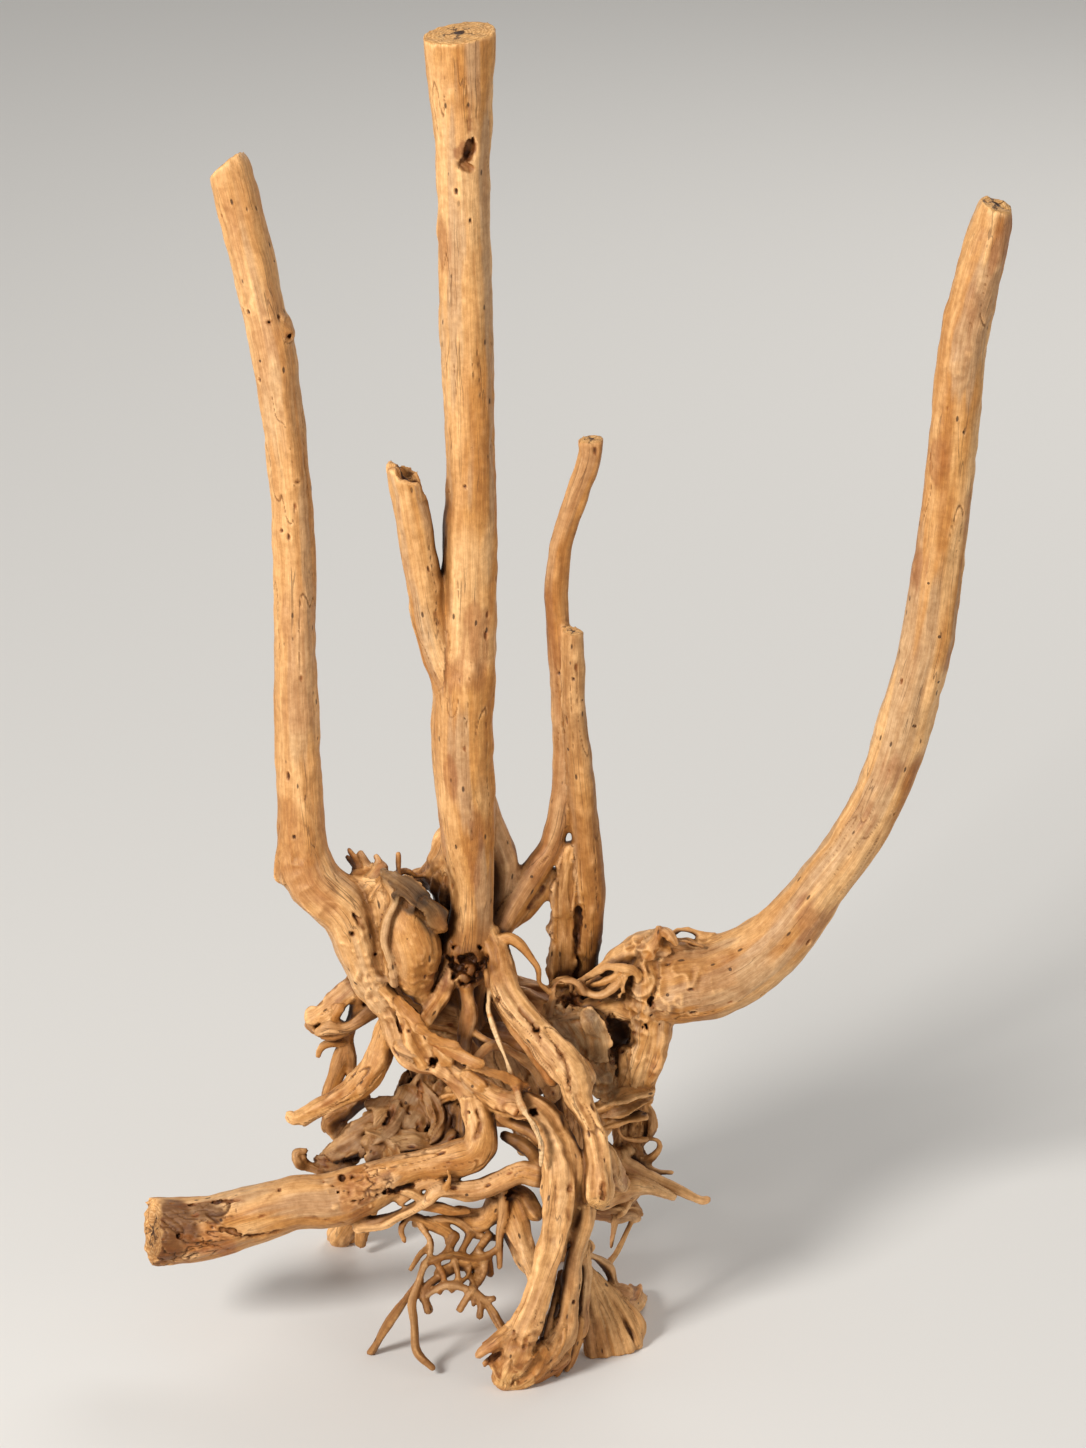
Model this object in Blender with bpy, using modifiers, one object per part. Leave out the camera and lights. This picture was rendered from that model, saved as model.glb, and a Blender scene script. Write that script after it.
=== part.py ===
"""A dry root: one grown piece of debarked, weathered wood, with sawn limbs above and root toes below.

Every limb, root and stub is a tapered tube that runs through a few points. The tubes are grown together
by a voxel remesh, smoothed, thinned out and cut flat where the toes stand. Metres, Z up, and the origin is
on the floor under the middle of the piece.
"""
import bmesh
import bpy

MM = 0.001
GROWTH_VOXEL = 1.5 * MM      # fineness at which the limbs grow together
SMOOTH_ROUNDS = 2
SMOOTH_FACTOR = 0.5
TRIANGLES = 12400            # what the finished solid keeps
TUBE_ROUNDNESS = 3           # bevel resolution of each tube
TUBE_STEPS = 5               # steps between two points of a tube
SOLE_DEPTH = 40 * MM         # how deep the floor cutter reaches
SOLE_REACH = 1.0             # how wide the floor cutter is
WOOD_COLOR = (0.53, 0.31, 0.145, 1.0)
WOOD_ROUGHNESS = 0.62

# Each strand is a list of (x, y, z, radius) in millimetres, from its free end or its start to its finish.
LIMBS = {
    "tall_limb": [
        (-52, -9, 682, 16.5), (-50, -7, 590, 13), (-48, -2, 421, 13), (-52, 1, 310, 15.5),
        (-50, 2, 272, 14), (-48, 2, 239, 11), (-52, 0, 194, 11.5),
    ],
    "side_branch": [(-81, -9, 462, 8.5), (-69, -5, 383, 8), (-64, -3, 361, 8.5), (-55, 0, 342, 11)],
    "flange": [(-45, 9, 285, 8), (-32, 17, 240, 8), (-35, 15, 223, 5.5), (-40, 9, 205, 4)],
    "left_limb": [
        (-165, 31, 601, 11), (-147, 25, 523, 11), (-138, 19, 453, 10), (-134, 7, 286, 12),
        (-130, 1, 244, 15.5), (-111, -2, 223, 14.5), (-101, -6, 193, 11), (-94, -8, 180, 8),
    ],
    "right_limb": [
        (206, -3, 588, 9.5), (193, -1, 518, 12.5), (188, 2, 446, 12), (179, 6, 366, 12.5),
        (171, 7, 329, 13), (162, 9, 294, 13), (148, 10, 262, 13.5), (110, 12, 207, 15),
        (92, 13, 191, 17), (75, 13, 182, 18.5), (59, 13, 179, 19.5), (44, 12, 175, 17),
    ],
    "thin_limb": [
        (12, 15, 467, 6), (-4, 19, 401, 5.5), (-1, 23, 318, 6), (-2, 23, 280, 6), (-7, 22, 253, 6),
        (-23, 16, 227, 7), (-36, 5, 206, 5),
    ],
    "stub_limb": [(3, 11, 370, 4.5), (4, 14, 326, 5.5), (11, 22, 240, 7.5), (10, 29, 174, 6)],
    "plank_left": [(1, 25, 246, 2), (0, 26, 230, 5), (-2, 31, 168, 5)],
    "plank_foot": [(-4, 31, 173, 4.5), (2, 29, 168, 5), (10, 27, 172, 5)],
    "plank_tie": [(0, 26, 216, 4.5), (9, 24, 217, 5)],
    "stump_limb": [
        (-215, -43, 66, 16.5), (-183, -42, 68, 16), (-140, -40, 80, 15), (-120, -39, 81, 15),
        (-104, -38, 86, 14), (-78, -39, 99, 8.5), (-55, -40, 104, 10), (-46, -39, 108, 10),
        (-43, -37, 117, 9), (-48, -29, 135, 6),
    ],
}

CROWN = {
    "elbow_knob": [(-139, -1, 251, 7), (-140, -1, 245, 7)],
    "burl": [
        (-85, -3, 231, 9.5), (-82, -7, 219, 13.5), (-78, -9, 205, 14.5), (-76, -9, 191, 10),
        (-74, -9, 181, 4.5),
    ],
    "shoulder": [(-103, 5, 237, 6.5), (-95, 2, 235, 8), (-91, -3, 228, 9), (-90, -8, 197, 7)],
    "bark_upper": [(-91, -1, 245, 3), (-78, -3, 236, 4.5), (-74, -3, 229, 3.5)],
    "bark_lower": [(-72, -1, 228, 4), (-68, -3, 223, 5.5), (-64, -3, 219, 4.5)],
    "splinter_a": [(-102, 9, 239, 3.5), (-109, 12, 250, 2.5)],
    "splinter_b": [(-94, 7, 238, 3), (-97, 7, 245, 2.5), (-95, 7, 250, 2)],
    "flare_left": [
        (-81, 31, 228, 3.5), (-70, 27, 231, 6.5), (-61, 19, 238, 10.5), (-54, 11, 254, 12.5),
    ],
    "right_crest": [(20, 9, 188, 3.5), (37, 14, 196, 9), (47, 13, 196, 10)],
    "right_body": [(43, 11, 180, 16.5), (43, 9, 165, 12.5), (39, 5, 138, 11), (36, 5, 125, 8.5)],
    "rim_front": [(43, 7, 203, 4.5), (48, 7, 209, 2.5), (52, 2, 209, 2.5), (55, 0, 205, 2)],
    "rim_back": [(53, 21, 199, 3.5), (59, 23, 203, 2.5), (66, 22, 201, 2.5), (74, 17, 198, 4)],
    "crest_lobe": [(32, 21, 197, 3.5), (37, 23, 199, 2.5), (44, 21, 199, 3)],
    "curl_a": [
        (6, 5, 183, 2.5), (20, -3, 194, 3), (27, -5, 195, 3), (33, -5, 192, 3), (38, -1, 181, 2),
    ],
    "curl_b": [(7, 1, 183, 2.5), (11, -3, 179, 2.5), (17, -5, 178, 2.5), (32, -5, 191, 2)],
    "shoulder_skin": [(12, 2, 169, 5), (23, 5, 170, 6), (32, 7, 166, 6.5)],
    "socket_rim": [
        (-9, -7, 169, 2), (-5, -6, 184, 2), (0, -5, 187, 2), (5, -5, 186, 2.5), (8, -4, 181, 2.5),
    ],
    "socket_back": [(-3, 13, 175, 5), (3, 13, 174, 5), (2, 3, 171, 4.5)],
    "sheet_top": [(-3, -1, 172, 4), (12, 0, 163, 5.5), (15, 2, 155, 5)],
    "sheet_mid": [(0, 0, 166, 4.5), (-2, 2, 157, 5), (10, 6, 145, 7), (13, 5, 136, 6)],
    "sheet_low": [(12, 3, 137, 4.5), (18, 1, 131, 6), (19, 0, 126, 4)],
    "sheet_curl": [
        (17, 0, 141, 2.5), (24, -4, 140, 2), (27, -5, 135, 2), (25, -5, 129, 2), (19, -2, 124, 2),
    ],
    "crown_back": [
        (-99, 17, 191, 12), (-83, 32, 175, 14.5), (-65, 42, 164, 16), (-43, 47, 155, 17),
        (-22, 49, 149, 16.5), (-1, 47, 145, 15), (17, 39, 147, 13.5), (38, 25, 161, 13),
    ],
    "crown_low": [
        (-78, 43, 148, 11), (-59, 51, 127, 13.5), (-34, 55, 115, 14), (-10, 53, 118, 12.5),
        (10, 45, 126, 10), (27, 29, 137, 8),
    ],
    "crown_heart": [
        (-51, 11, 209, 12), (-47, 27, 180, 14.5), (-41, 39, 150, 14.5), (-32, 45, 121, 12.5),
        (-25, 45, 100, 9.5), (-20, 37, 85, 6),
    ],
    "back_riser": [(-50, 21, 207, 11), (-39, 43, 151, 10.5)],
    "back_knob": [(-50, 65, 156, 8.5), (-39, 73, 142, 7)],
    "back_swell": [(0, 59, 145, 9.5), (13, 59, 133, 8), (21, 57, 116, 6)],
    "back_flute": [(-70, 35, 182, 9), (-80, 23, 204, 8), (-86, 9, 223, 7)],
    "back_limb": [(-59, 11, 236, 8), (-54, 45, 178, 9.5)],
}

ROOTS = {
    "pillar_left": [(-58, -3, 201, 6.5), (-61, -5, 188, 4), (-64, -7, 177, 4), (-76, -15, 163, 5)],
    "pillar_mid": [
        (-52, -3, 192, 5), (-51, -4, 179, 3.5), (-50, -6, 166, 3.5), (-52, -9, 155, 3.5),
        (-53, -17, 148, 3.5),
    ],
    "pillar_right": [(-42, 2, 204, 4.5), (-45, 8, 170, 3.5), (-43, 10, 148, 3.5)],
    "diagonal_root": [
        (-38, -1, 212, 4), (-21, -23, 185, 8), (4, -47, 155, 8.5), (5, -50, 143, 7),
        (11, -54, 131, 5.5), (15, -60, 110, 7), (15, -62, 96, 8),
    ],
    "diagonal_edge": [(-40, -9, 192, 3), (-34, -17, 181, 4), (-7, -41, 149, 4)],
    "knuckle": [(8, -45, 155, 5), (10, -47, 153, 4.5)],
    "heel_web": [(20, -55, 115, 3), (23, -49, 102, 4), (28, -37, 89, 4)],
    "hook_twig": [
        (-34, -3, 207, 3.5), (-30, -5, 211, 3), (-24, -7, 208, 2.5), (-15, -10, 197, 2),
        (-14, -9, 188, 2), (-9, -7, 182, 2),
    ],
    "sinew_low": [
        (-100, -7, 187, 6), (-90, -9, 175, 6.5), (-82, -15, 155, 6.5), (-65, -22, 148, 6.5),
        (-49, -29, 136, 5.5),
    ],
    "sinew_mid": [(-93, -13, 187, 3), (-79, -18, 170, 5), (-75, -20, 161, 6.5), (-70, -21, 153, 6)],
    "ribbon_b": [(-74, -23, 168, 2), (-56, -28, 156, 2.5), (-32, -35, 145, 2.5), (-13, -33, 138, 2)],
    "arch": [(-59, -25, 147, 4.5), (-41, -32, 138, 6), (-23, -41, 135, 7.5)],
    "front_leg": [
        (-23, -41, 135, 7.5), (-15, -45, 134, 7.5), (-8, -49, 127, 7.5), (-2, -59, 103, 9.5),
        (-6, -68, 78, 8), (-13, -77, 53, 7), (-26, -87, 22, 9.5),
    ],
    "front_leg_right": [
        (6, -55, 100, 4.5), (9, -57, 85, 5.5), (3, -64, 60, 5), (1, -70, 36, 5), (-2, -74, 24, 6.5),
        (-15, -82, 11, 6.5),
    ],
    "front_leg_rear": [
        (8, -59, 64, 3.5), (10, -57, 51, 3), (7, -61, 19, 4.5), (2, -63, 8, 5), (-4, -66, -4, 2.5),
    ],
    "toe_left": [(-27, -85, 30, 4.5), (-45, -88, 17, 2.5)],
    "toe_mid": [(-24, -87, 21, 7), (-30, -89, 13, 7), (-33, -89, 6, 5)],
    "toe_right": [(-14, -83, 17, 6), (-17, -86, 10, 6.5), (-24, -88, 4, 4.5), (-31, -89, 3, 3.5)],
    "toe_edge": [(-3, -75, 11, 4), (-16, -83, 3, 3.5)],
    "leg_behind": [
        (-31, -41, 94, 5), (-33, -33, 82, 6), (-25, -40, 64, 6.5), (-21, -47, 54, 5),
        (-17, -59, 48, 4), (-14, -69, 46, 4),
    ],
    "fan_a": [(2, -61, 73, 4.5), (10, -44, 36, 3.5), (17, -51, 0, 4.5)],
    "fan_b": [
        (5, -55, 61, 3), (11, -43, 45, 3), (18, -39, 29, 3.5), (22, -43, 16, 4.5), (23, -49, 0, 4),
    ],
    "fan_c": [(9, -45, 48, 2.5), (16, -38, 38, 3), (24, -36, 22, 4), (30, -44, 3, 4)],
    "fan_d": [
        (16, -38, 38, 2.5), (20, -34, 31, 3), (28, -33, 21, 4), (34, -35, 11, 4), (35, -39, 4, 3.5),
    ],
    "fan_knob": [(21, -31, 27, 3), (27, -30, 28, 3.5), (31, -30, 26, 4)],
    "fan_hair_a": [(35, -3, 56, 2), (27, -17, 44, 2), (20, -31, 40, 2)],
    "back_toe": [(26, -35, 15, 4.5), (34, -10, 9, 5), (36, 13, 4, 5.5), (36, 19, -3, 4)],
    "fold_root": [(-96, -4, 100, 6.5), (-87, -27, 96, 7)],
    "fold_tie": [(-62, 1, 118, 5.5), (-51, -23, 134, 5)],
    "hook_root": [
        (-90, -7, 170, 4.5), (-96, -11, 147, 6.5), (-102, -13, 138, 6.5), (-111, -15, 130, 6),
        (-140, -21, 119, 2.5),
    ],
    "hook_toe": [(-124, -17, 120, 2.5), (-133, -20, 115, 2)],
    "fold_a": [(-120, -3, 91, 4.5), (-113, -1, 95, 6.5), (-103, -2, 99, 7.5), (-83, -3, 107, 7)],
    "fold_b": [(-80, 9, 127, 4.5), (-83, 5, 111, 7.5), (-84, 0, 103, 8.5), (-89, -5, 97, 6.5)],
    "fold_c": [
        (-75, 7, 135, 5), (-71, 8, 123, 7), (-68, 5, 113, 8.5), (-65, 0, 106, 9.5), (-67, -5, 98, 8.5),
    ],
    "fold_d": [(-61, 2, 116, 6), (-57, -3, 110, 6.5), (-57, -9, 101, 6)],
    "fold_end": [(-113, -11, 89, 6), (-125, -5, 87, 4.5)],
    "rag_left": [(-125, -9, 84, 2.5), (-136, -7, 88, 3.5), (-138, -7, 93, 2), (-134, -7, 94, 2)],
    "ledge_a": [(16, -1, 115, 3.5), (24, -4, 121, 4), (33, -4, 125, 4), (41, -1, 125, 3.5)],
    "ledge_b": [(20, -4, 111, 2.5), (28, -6, 117, 3), (42, -2, 121, 2.5)],
    "brown_core": [
        (35, 11, 116, 7), (34, 13, 101, 7.5), (32, 11, 89, 7.5), (35, 7, 79, 6), (32, -3, 72, 6),
        (27, -7, 64, 5.5),
    ],
    "spur_start": [(20, -3, 96, 2.5), (28, -2, 86, 3)],
    "spur_long": [(30, 7, 87, 5), (28, -2, 86, 4), (37, -3, 80, 4), (72, -5, 66, 2)],
    "spur_broad": [(17, -17, 72, 6), (24, -12, 73, 7), (34, -10, 75, 5.5), (54, -9, 69, 2)],
    "spur_lump": [(17, -11, 65, 5.5), (26, -7, 63, 6), (36, -3, 58, 3.5)],
    "inner_grey": [(-44, 11, 152, 4.5), (-24, 5, 149, 6.5), (-10, -7, 135, 5.5), (-7, -15, 129, 4.5)],
    "inner_cross": [
        (-49, -27, 150, 2.5), (-43, -25, 156, 2.5), (-38, -21, 158, 2.5), (-23, -13, 148, 2.5),
        (-17, -11, 142, 2.5), (-13, -13, 135, 2.5),
    ],
    "rot_a": [(-34, -37, 126, 2.5), (-27, -37, 122, 3), (-13, -45, 117, 3.5)],
    "rot_b": [(-31, -31, 113, 3), (-24, -33, 110, 4), (-17, -39, 107, 4), (-13, -47, 104, 4)],
    "socket_floor": [(-28, -31, 82, 5.5), (-21, -35, 81, 5), (-16, -43, 76, 4.5)],
    "back_root_left": [
        (-67, 43, 151, 9), (-75, 57, 95, 7.5), (-83, 63, 70, 7.5), (-109, 78, 24, 7.5),
        (-122, 91, -7, 6),
    ],
    "back_stub": [(-102, 71, 33, 4.5), (-108, 68, 8, 3.5)],
    "back_root_right": [
        (-7, 47, 133, 9), (-2, 55, 101, 8.5), (2, 60, 65, 7.5), (3, 63, 30, 7.5), (1, 68, -4, 7.5),
    ],
    "back_tie": [
        (-34, 45, 134, 8.5), (-24, 41, 107, 7.5), (-16, 25, 92, 6.5), (-9, -5, 85, 6),
        (-5, -45, 87, 5),
    ],
    "back_spur": [(23, 39, 136, 7), (27, 53, 108, 5.5), (13, 79, 56, 3.5)],
    "back_cross": [(-74, 57, 100, 5), (-50, 65, 85, 4.5), (-24, 65, 80, 4.5), (-1, 55, 90, 4.5)],
    "back_rib_a": [(-58, 67, 147, 4.5), (-66, 69, 118, 5), (-66, 67, 90, 4), (-60, 63, 69, 3)],
    "back_rib_b": [(-24, 71, 142, 4), (-30, 71, 111, 4.5), (-28, 63, 86, 3.5), (-22, 49, 70, 2.5)],
    "back_rib_c": [(-9, 65, 136, 4), (12, 57, 117, 4), (24, 45, 102, 3.5), (27, 31, 92, 3.5)],
}

ROOTLETS = {
    "knob_a": [(-107, 11, 178, 5), (-123, 15, 163, 4), (-129, 14, 158, 5), (-128, 13, 155, 4)],
    "knob_b": [(-97, 9, 167, 4), (-112, 7, 157, 3), (-126, 6, 155, 2.5)],
    "knob_stem": [(-105, 9, 176, 4.5), (-111, 15, 152, 3), (-122, 17, 115, 3.5), (-120, 17, 104, 3.5)],
    "knob_foot": [(-105, 17, 113, 4), (-122, 15, 101, 4), (-118, 19, 94, 3.5)],
    "knot_right": [(41, 9, 111, 2.5), (43, 7, 109, 2.5), (43, 7, 97, 2.5)],
    "cross_root": [
        (-14, -49, 99, 5), (-24, -47, 100, 5), (-40, -46, 92, 4.5), (-49, -46, 90, 4.5),
        (-64, -48, 91, 3.5), (-92, -43, 71, 3.5), (-105, -41, 68, 3.5),
    ],
    "cross_upper": [(-84, -43, 83, 2.5), (-75, -45, 91, 2.5), (-65, -45, 95, 2.5)],
    "cross_low_a": [(-75, -43, 80, 2.5), (-66, -44, 80, 3), (-50, -41, 76, 2.5)],
    "cross_low_b": [(-78, -39, 72, 2.5), (-61, -39, 64, 3.5), (-58, -39, 60, 2.5)],
    "cross_low_c": [
        (-77, -37, 67, 2.5), (-66, -39, 71, 2.5), (-56, -38, 69, 2.5), (-47, -37, 61, 2.5),
        (-36, -37, 59, 2.5),
    ],
    "cross_lump": [(-55, -33, 71, 4.5), (-47, -32, 67, 6), (-39, -33, 70, 5), (-36, -37, 79, 3.5)],
    "cross_drop": [(-32, -41, 87, 2.5), (-34, -45, 47, 2.5)],
    "hair_a": [
        (-74, -41, 68, 2.5), (-69, -46, 62, 2.5), (-69, -50, 56, 2.5), (-75, -59, 45, 2.5),
        (-78, -63, 35, 2.5), (-77, -68, 24, 2.5), (-76, -72, 13, 2.5), (-68, -75, 5, 2.5),
    ],
    "hair_b": [(-74, -57, 45, 2.5), (-100, -49, 0, 2.5)],
    "hair_c": [(-72, -54, 52, 2.5), (-56, -50, 56, 2.5), (-41, -46, 53, 2.5), (-35, -44, 57, 2.5)],
    "hair_f": [
        (-39, -38, 61, 2.5), (-51, -47, 50, 2.5), (-67, -55, 44, 2.5), (-72, -59, 39, 2.5),
        (-70, -62, 31, 2.5),
    ],
    "hair_g": [
        (-73, -60, 36, 2.5), (-61, -60, 44, 2.5), (-47, -62, 41, 2.5), (-36, -67, 29, 2.5),
        (-31, -73, 23, 2.5),
    ],
}


def clear_scene():
    for item in list(bpy.data.objects):
        bpy.data.objects.remove(item, do_unlink=True)


def new_collection(name):
    collection = bpy.data.collections.new(name)
    bpy.context.scene.collection.children.link(collection)
    return collection


def wood_material():
    material = bpy.data.materials.new("weathered_wood")
    material.use_nodes = True
    shader = material.node_tree.nodes["Principled BSDF"]
    shader.inputs["Base Color"].default_value = WOOD_COLOR
    shader.inputs["Roughness"].default_value = WOOD_ROUGHNESS
    shader.inputs["Metallic"].default_value = 0.0
    material.diffuse_color = WOOD_COLOR
    return material


def strand_tube(name, points, collection):
    """A closed tapered tube through the points of one strand."""
    curve = bpy.data.curves.new(name, "CURVE")
    curve.dimensions = "3D"
    curve.bevel_depth = MM
    curve.bevel_resolution = TUBE_ROUNDNESS
    curve.resolution_u = TUBE_STEPS
    curve.use_fill_caps = True
    spline = curve.splines.new("BEZIER")
    spline.bezier_points.add(len(points) - 1)
    for knot, (x, y, z, radius) in zip(spline.bezier_points, points):
        knot.co = (x * MM, y * MM, z * MM)
        knot.radius = radius
        knot.handle_left_type = "AUTO"
        knot.handle_right_type = "AUTO"
    tube = bpy.data.objects.new(name, curve)
    collection.objects.link(tube)
    return tube


def as_mesh(item):
    """The evaluated shape of an object as a mesh of its own, with its loose caps welded."""
    graph = bpy.context.evaluated_depsgraph_get()
    mesh = bpy.data.meshes.new_from_object(item.evaluated_get(graph), depsgraph=graph)
    shape = bmesh.new()
    shape.from_mesh(mesh)
    bmesh.ops.remove_doubles(shape, verts=shape.verts, dist=0.01 * MM)
    shape.to_mesh(mesh)
    shape.free()
    return mesh


def join_tubes(name, strands, collection):
    """One object that holds the tubes of all strands."""
    joined = bmesh.new()
    for strand, points in strands.items():
        tube = strand_tube(strand, points, collection)
        mesh = as_mesh(tube)
        joined.from_mesh(mesh)
        bpy.data.objects.remove(tube, do_unlink=True)
        bpy.data.meshes.remove(mesh)
    mesh = bpy.data.meshes.new(name)
    joined.to_mesh(mesh)
    joined.free()
    wood = bpy.data.objects.new(name, mesh)
    collection.objects.link(wood)
    return wood


def bake_modifiers(item):
    """Replaces the object's mesh with its evaluated mesh and removes its modifiers."""
    old = item.data
    item.data = as_mesh(item)
    item.modifiers.clear()
    bpy.data.meshes.remove(old)


def grow_together(wood):
    """Turns the crossing tubes into one skin."""
    remesh = wood.modifiers.new("grow_together", "REMESH")
    remesh.mode = "VOXEL"
    remesh.voxel_size = GROWTH_VOXEL
    smooth = wood.modifiers.new("weather", "SMOOTH")
    smooth.iterations = SMOOTH_ROUNDS
    smooth.factor = SMOOTH_FACTOR
    bake_modifiers(wood)


def keep_outer_skin(wood):
    """Removes sealed hollows and loose crumbs: only the largest skin stays."""
    shape = bmesh.new()
    shape.from_mesh(wood.data)
    unseen = set(shape.verts)
    islands = []
    while unseen:
        front = [unseen.pop()]
        island = list(front)
        while front:
            vertex = front.pop()
            for edge in vertex.link_edges:
                other = edge.other_vert(vertex)
                if other in unseen:
                    unseen.remove(other)
                    front.append(other)
                    island.append(other)
        islands.append(island)
    islands.sort(key=len)
    for island in islands[:-1]:
        bmesh.ops.delete(shape, geom=island, context="VERTS")
    shape.to_mesh(wood.data)
    shape.free()


def thin_out(wood):
    """Brings the skin down to the triangles that the shape needs."""
    shape = bmesh.new()
    shape.from_mesh(wood.data)
    bmesh.ops.triangulate(shape, faces=shape.faces)
    faces = len(shape.faces)
    shape.to_mesh(wood.data)
    shape.free()
    decimate = wood.modifiers.new("thin_out", "DECIMATE")
    decimate.ratio = TRIANGLES / faces
    decimate.use_collapse_triangulate = True
    bake_modifiers(wood)


def cut_soles(wood, cutters):
    """Cuts the toes off level with the floor, so that the piece stands on flat soles."""
    block = bmesh.new()
    bmesh.ops.create_cube(block, size=1.0)
    mesh = bpy.data.meshes.new("floor_cutter")
    block.to_mesh(mesh)
    block.free()
    cutter = bpy.data.objects.new("floor_cutter", mesh)
    cutter.scale = (SOLE_REACH, SOLE_REACH, SOLE_DEPTH)
    cutter.location = (0.0, 0.0, -SOLE_DEPTH / 2)
    cutter.display_type = "WIRE"
    cutter.hide_render = True
    cutters.objects.link(cutter)
    cut = wood.modifiers.new("cut_soles", "BOOLEAN")
    cut.operation = "DIFFERENCE"
    cut.object = cutter


def main():
    clear_scene()
    collection = new_collection("dry_root")
    cutters = new_collection("cutters")
    cutters.hide_render = True
    strands = {**LIMBS, **CROWN, **ROOTS, **ROOTLETS}
    wood = join_tubes("root_wood", strands, collection)
    wood.data.materials.append(wood_material())
    grow_together(wood)
    keep_outer_skin(wood)
    thin_out(wood)
    cut_soles(wood, cutters)


main()
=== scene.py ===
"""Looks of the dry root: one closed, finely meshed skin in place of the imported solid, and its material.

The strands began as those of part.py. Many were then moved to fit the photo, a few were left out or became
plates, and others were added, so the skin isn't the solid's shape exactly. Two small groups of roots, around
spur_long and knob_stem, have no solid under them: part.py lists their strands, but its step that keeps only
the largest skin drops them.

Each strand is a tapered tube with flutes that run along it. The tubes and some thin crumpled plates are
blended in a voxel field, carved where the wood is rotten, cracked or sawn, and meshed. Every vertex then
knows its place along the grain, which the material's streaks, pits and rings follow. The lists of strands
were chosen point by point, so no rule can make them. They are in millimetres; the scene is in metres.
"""
import math

import bpy
import numpy as np
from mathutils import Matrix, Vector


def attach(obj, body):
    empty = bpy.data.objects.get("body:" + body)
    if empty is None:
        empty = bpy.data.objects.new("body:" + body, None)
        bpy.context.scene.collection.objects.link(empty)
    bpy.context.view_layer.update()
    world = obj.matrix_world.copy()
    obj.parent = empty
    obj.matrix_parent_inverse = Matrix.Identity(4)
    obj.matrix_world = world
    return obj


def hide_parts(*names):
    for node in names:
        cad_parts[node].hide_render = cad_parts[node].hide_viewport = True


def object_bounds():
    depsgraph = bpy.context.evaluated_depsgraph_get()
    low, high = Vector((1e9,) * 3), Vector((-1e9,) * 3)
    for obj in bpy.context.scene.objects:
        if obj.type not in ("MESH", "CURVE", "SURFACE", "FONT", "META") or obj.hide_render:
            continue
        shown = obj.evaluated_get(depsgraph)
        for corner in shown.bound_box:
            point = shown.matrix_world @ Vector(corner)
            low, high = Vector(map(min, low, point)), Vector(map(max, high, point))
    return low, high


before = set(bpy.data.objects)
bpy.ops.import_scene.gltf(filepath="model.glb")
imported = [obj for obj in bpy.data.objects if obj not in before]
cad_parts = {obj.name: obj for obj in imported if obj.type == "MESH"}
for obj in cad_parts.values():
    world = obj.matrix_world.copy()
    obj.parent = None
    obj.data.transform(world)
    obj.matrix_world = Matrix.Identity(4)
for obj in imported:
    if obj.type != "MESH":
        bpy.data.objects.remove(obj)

import openvdb

CAD_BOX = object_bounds()
MM = 0.001                              # metres in a millimetre
SEED = 41
VOXEL = 0.8      # mm
BAND = 4.2                              # mm, how far the field reaches outside the skin
STEP = 2.0                              # mm between samples on a strand's curve
PIECE = 7                               # samples that are filled at one go
CHUNK = 20000                           # vertices that are measured against a strand at one go
THINNEST = 0.35                         # mm, the least radius of a strand
THICK = 8.0                             # mm of radius, from which a strand is as rough as its group
SIDE_MARGIN = 0.3                       # mm that the field stays inside the solid's box, sideways
SKIN_MARGIN = 0.05                      # mm that the roughened skin stays inside that box
END_SAMPLES = 6                         # samples that show how thick a strand is at its end
RINGED = 12.0                           # mm of radius, from which a sawn end shows its rings unspread

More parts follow.
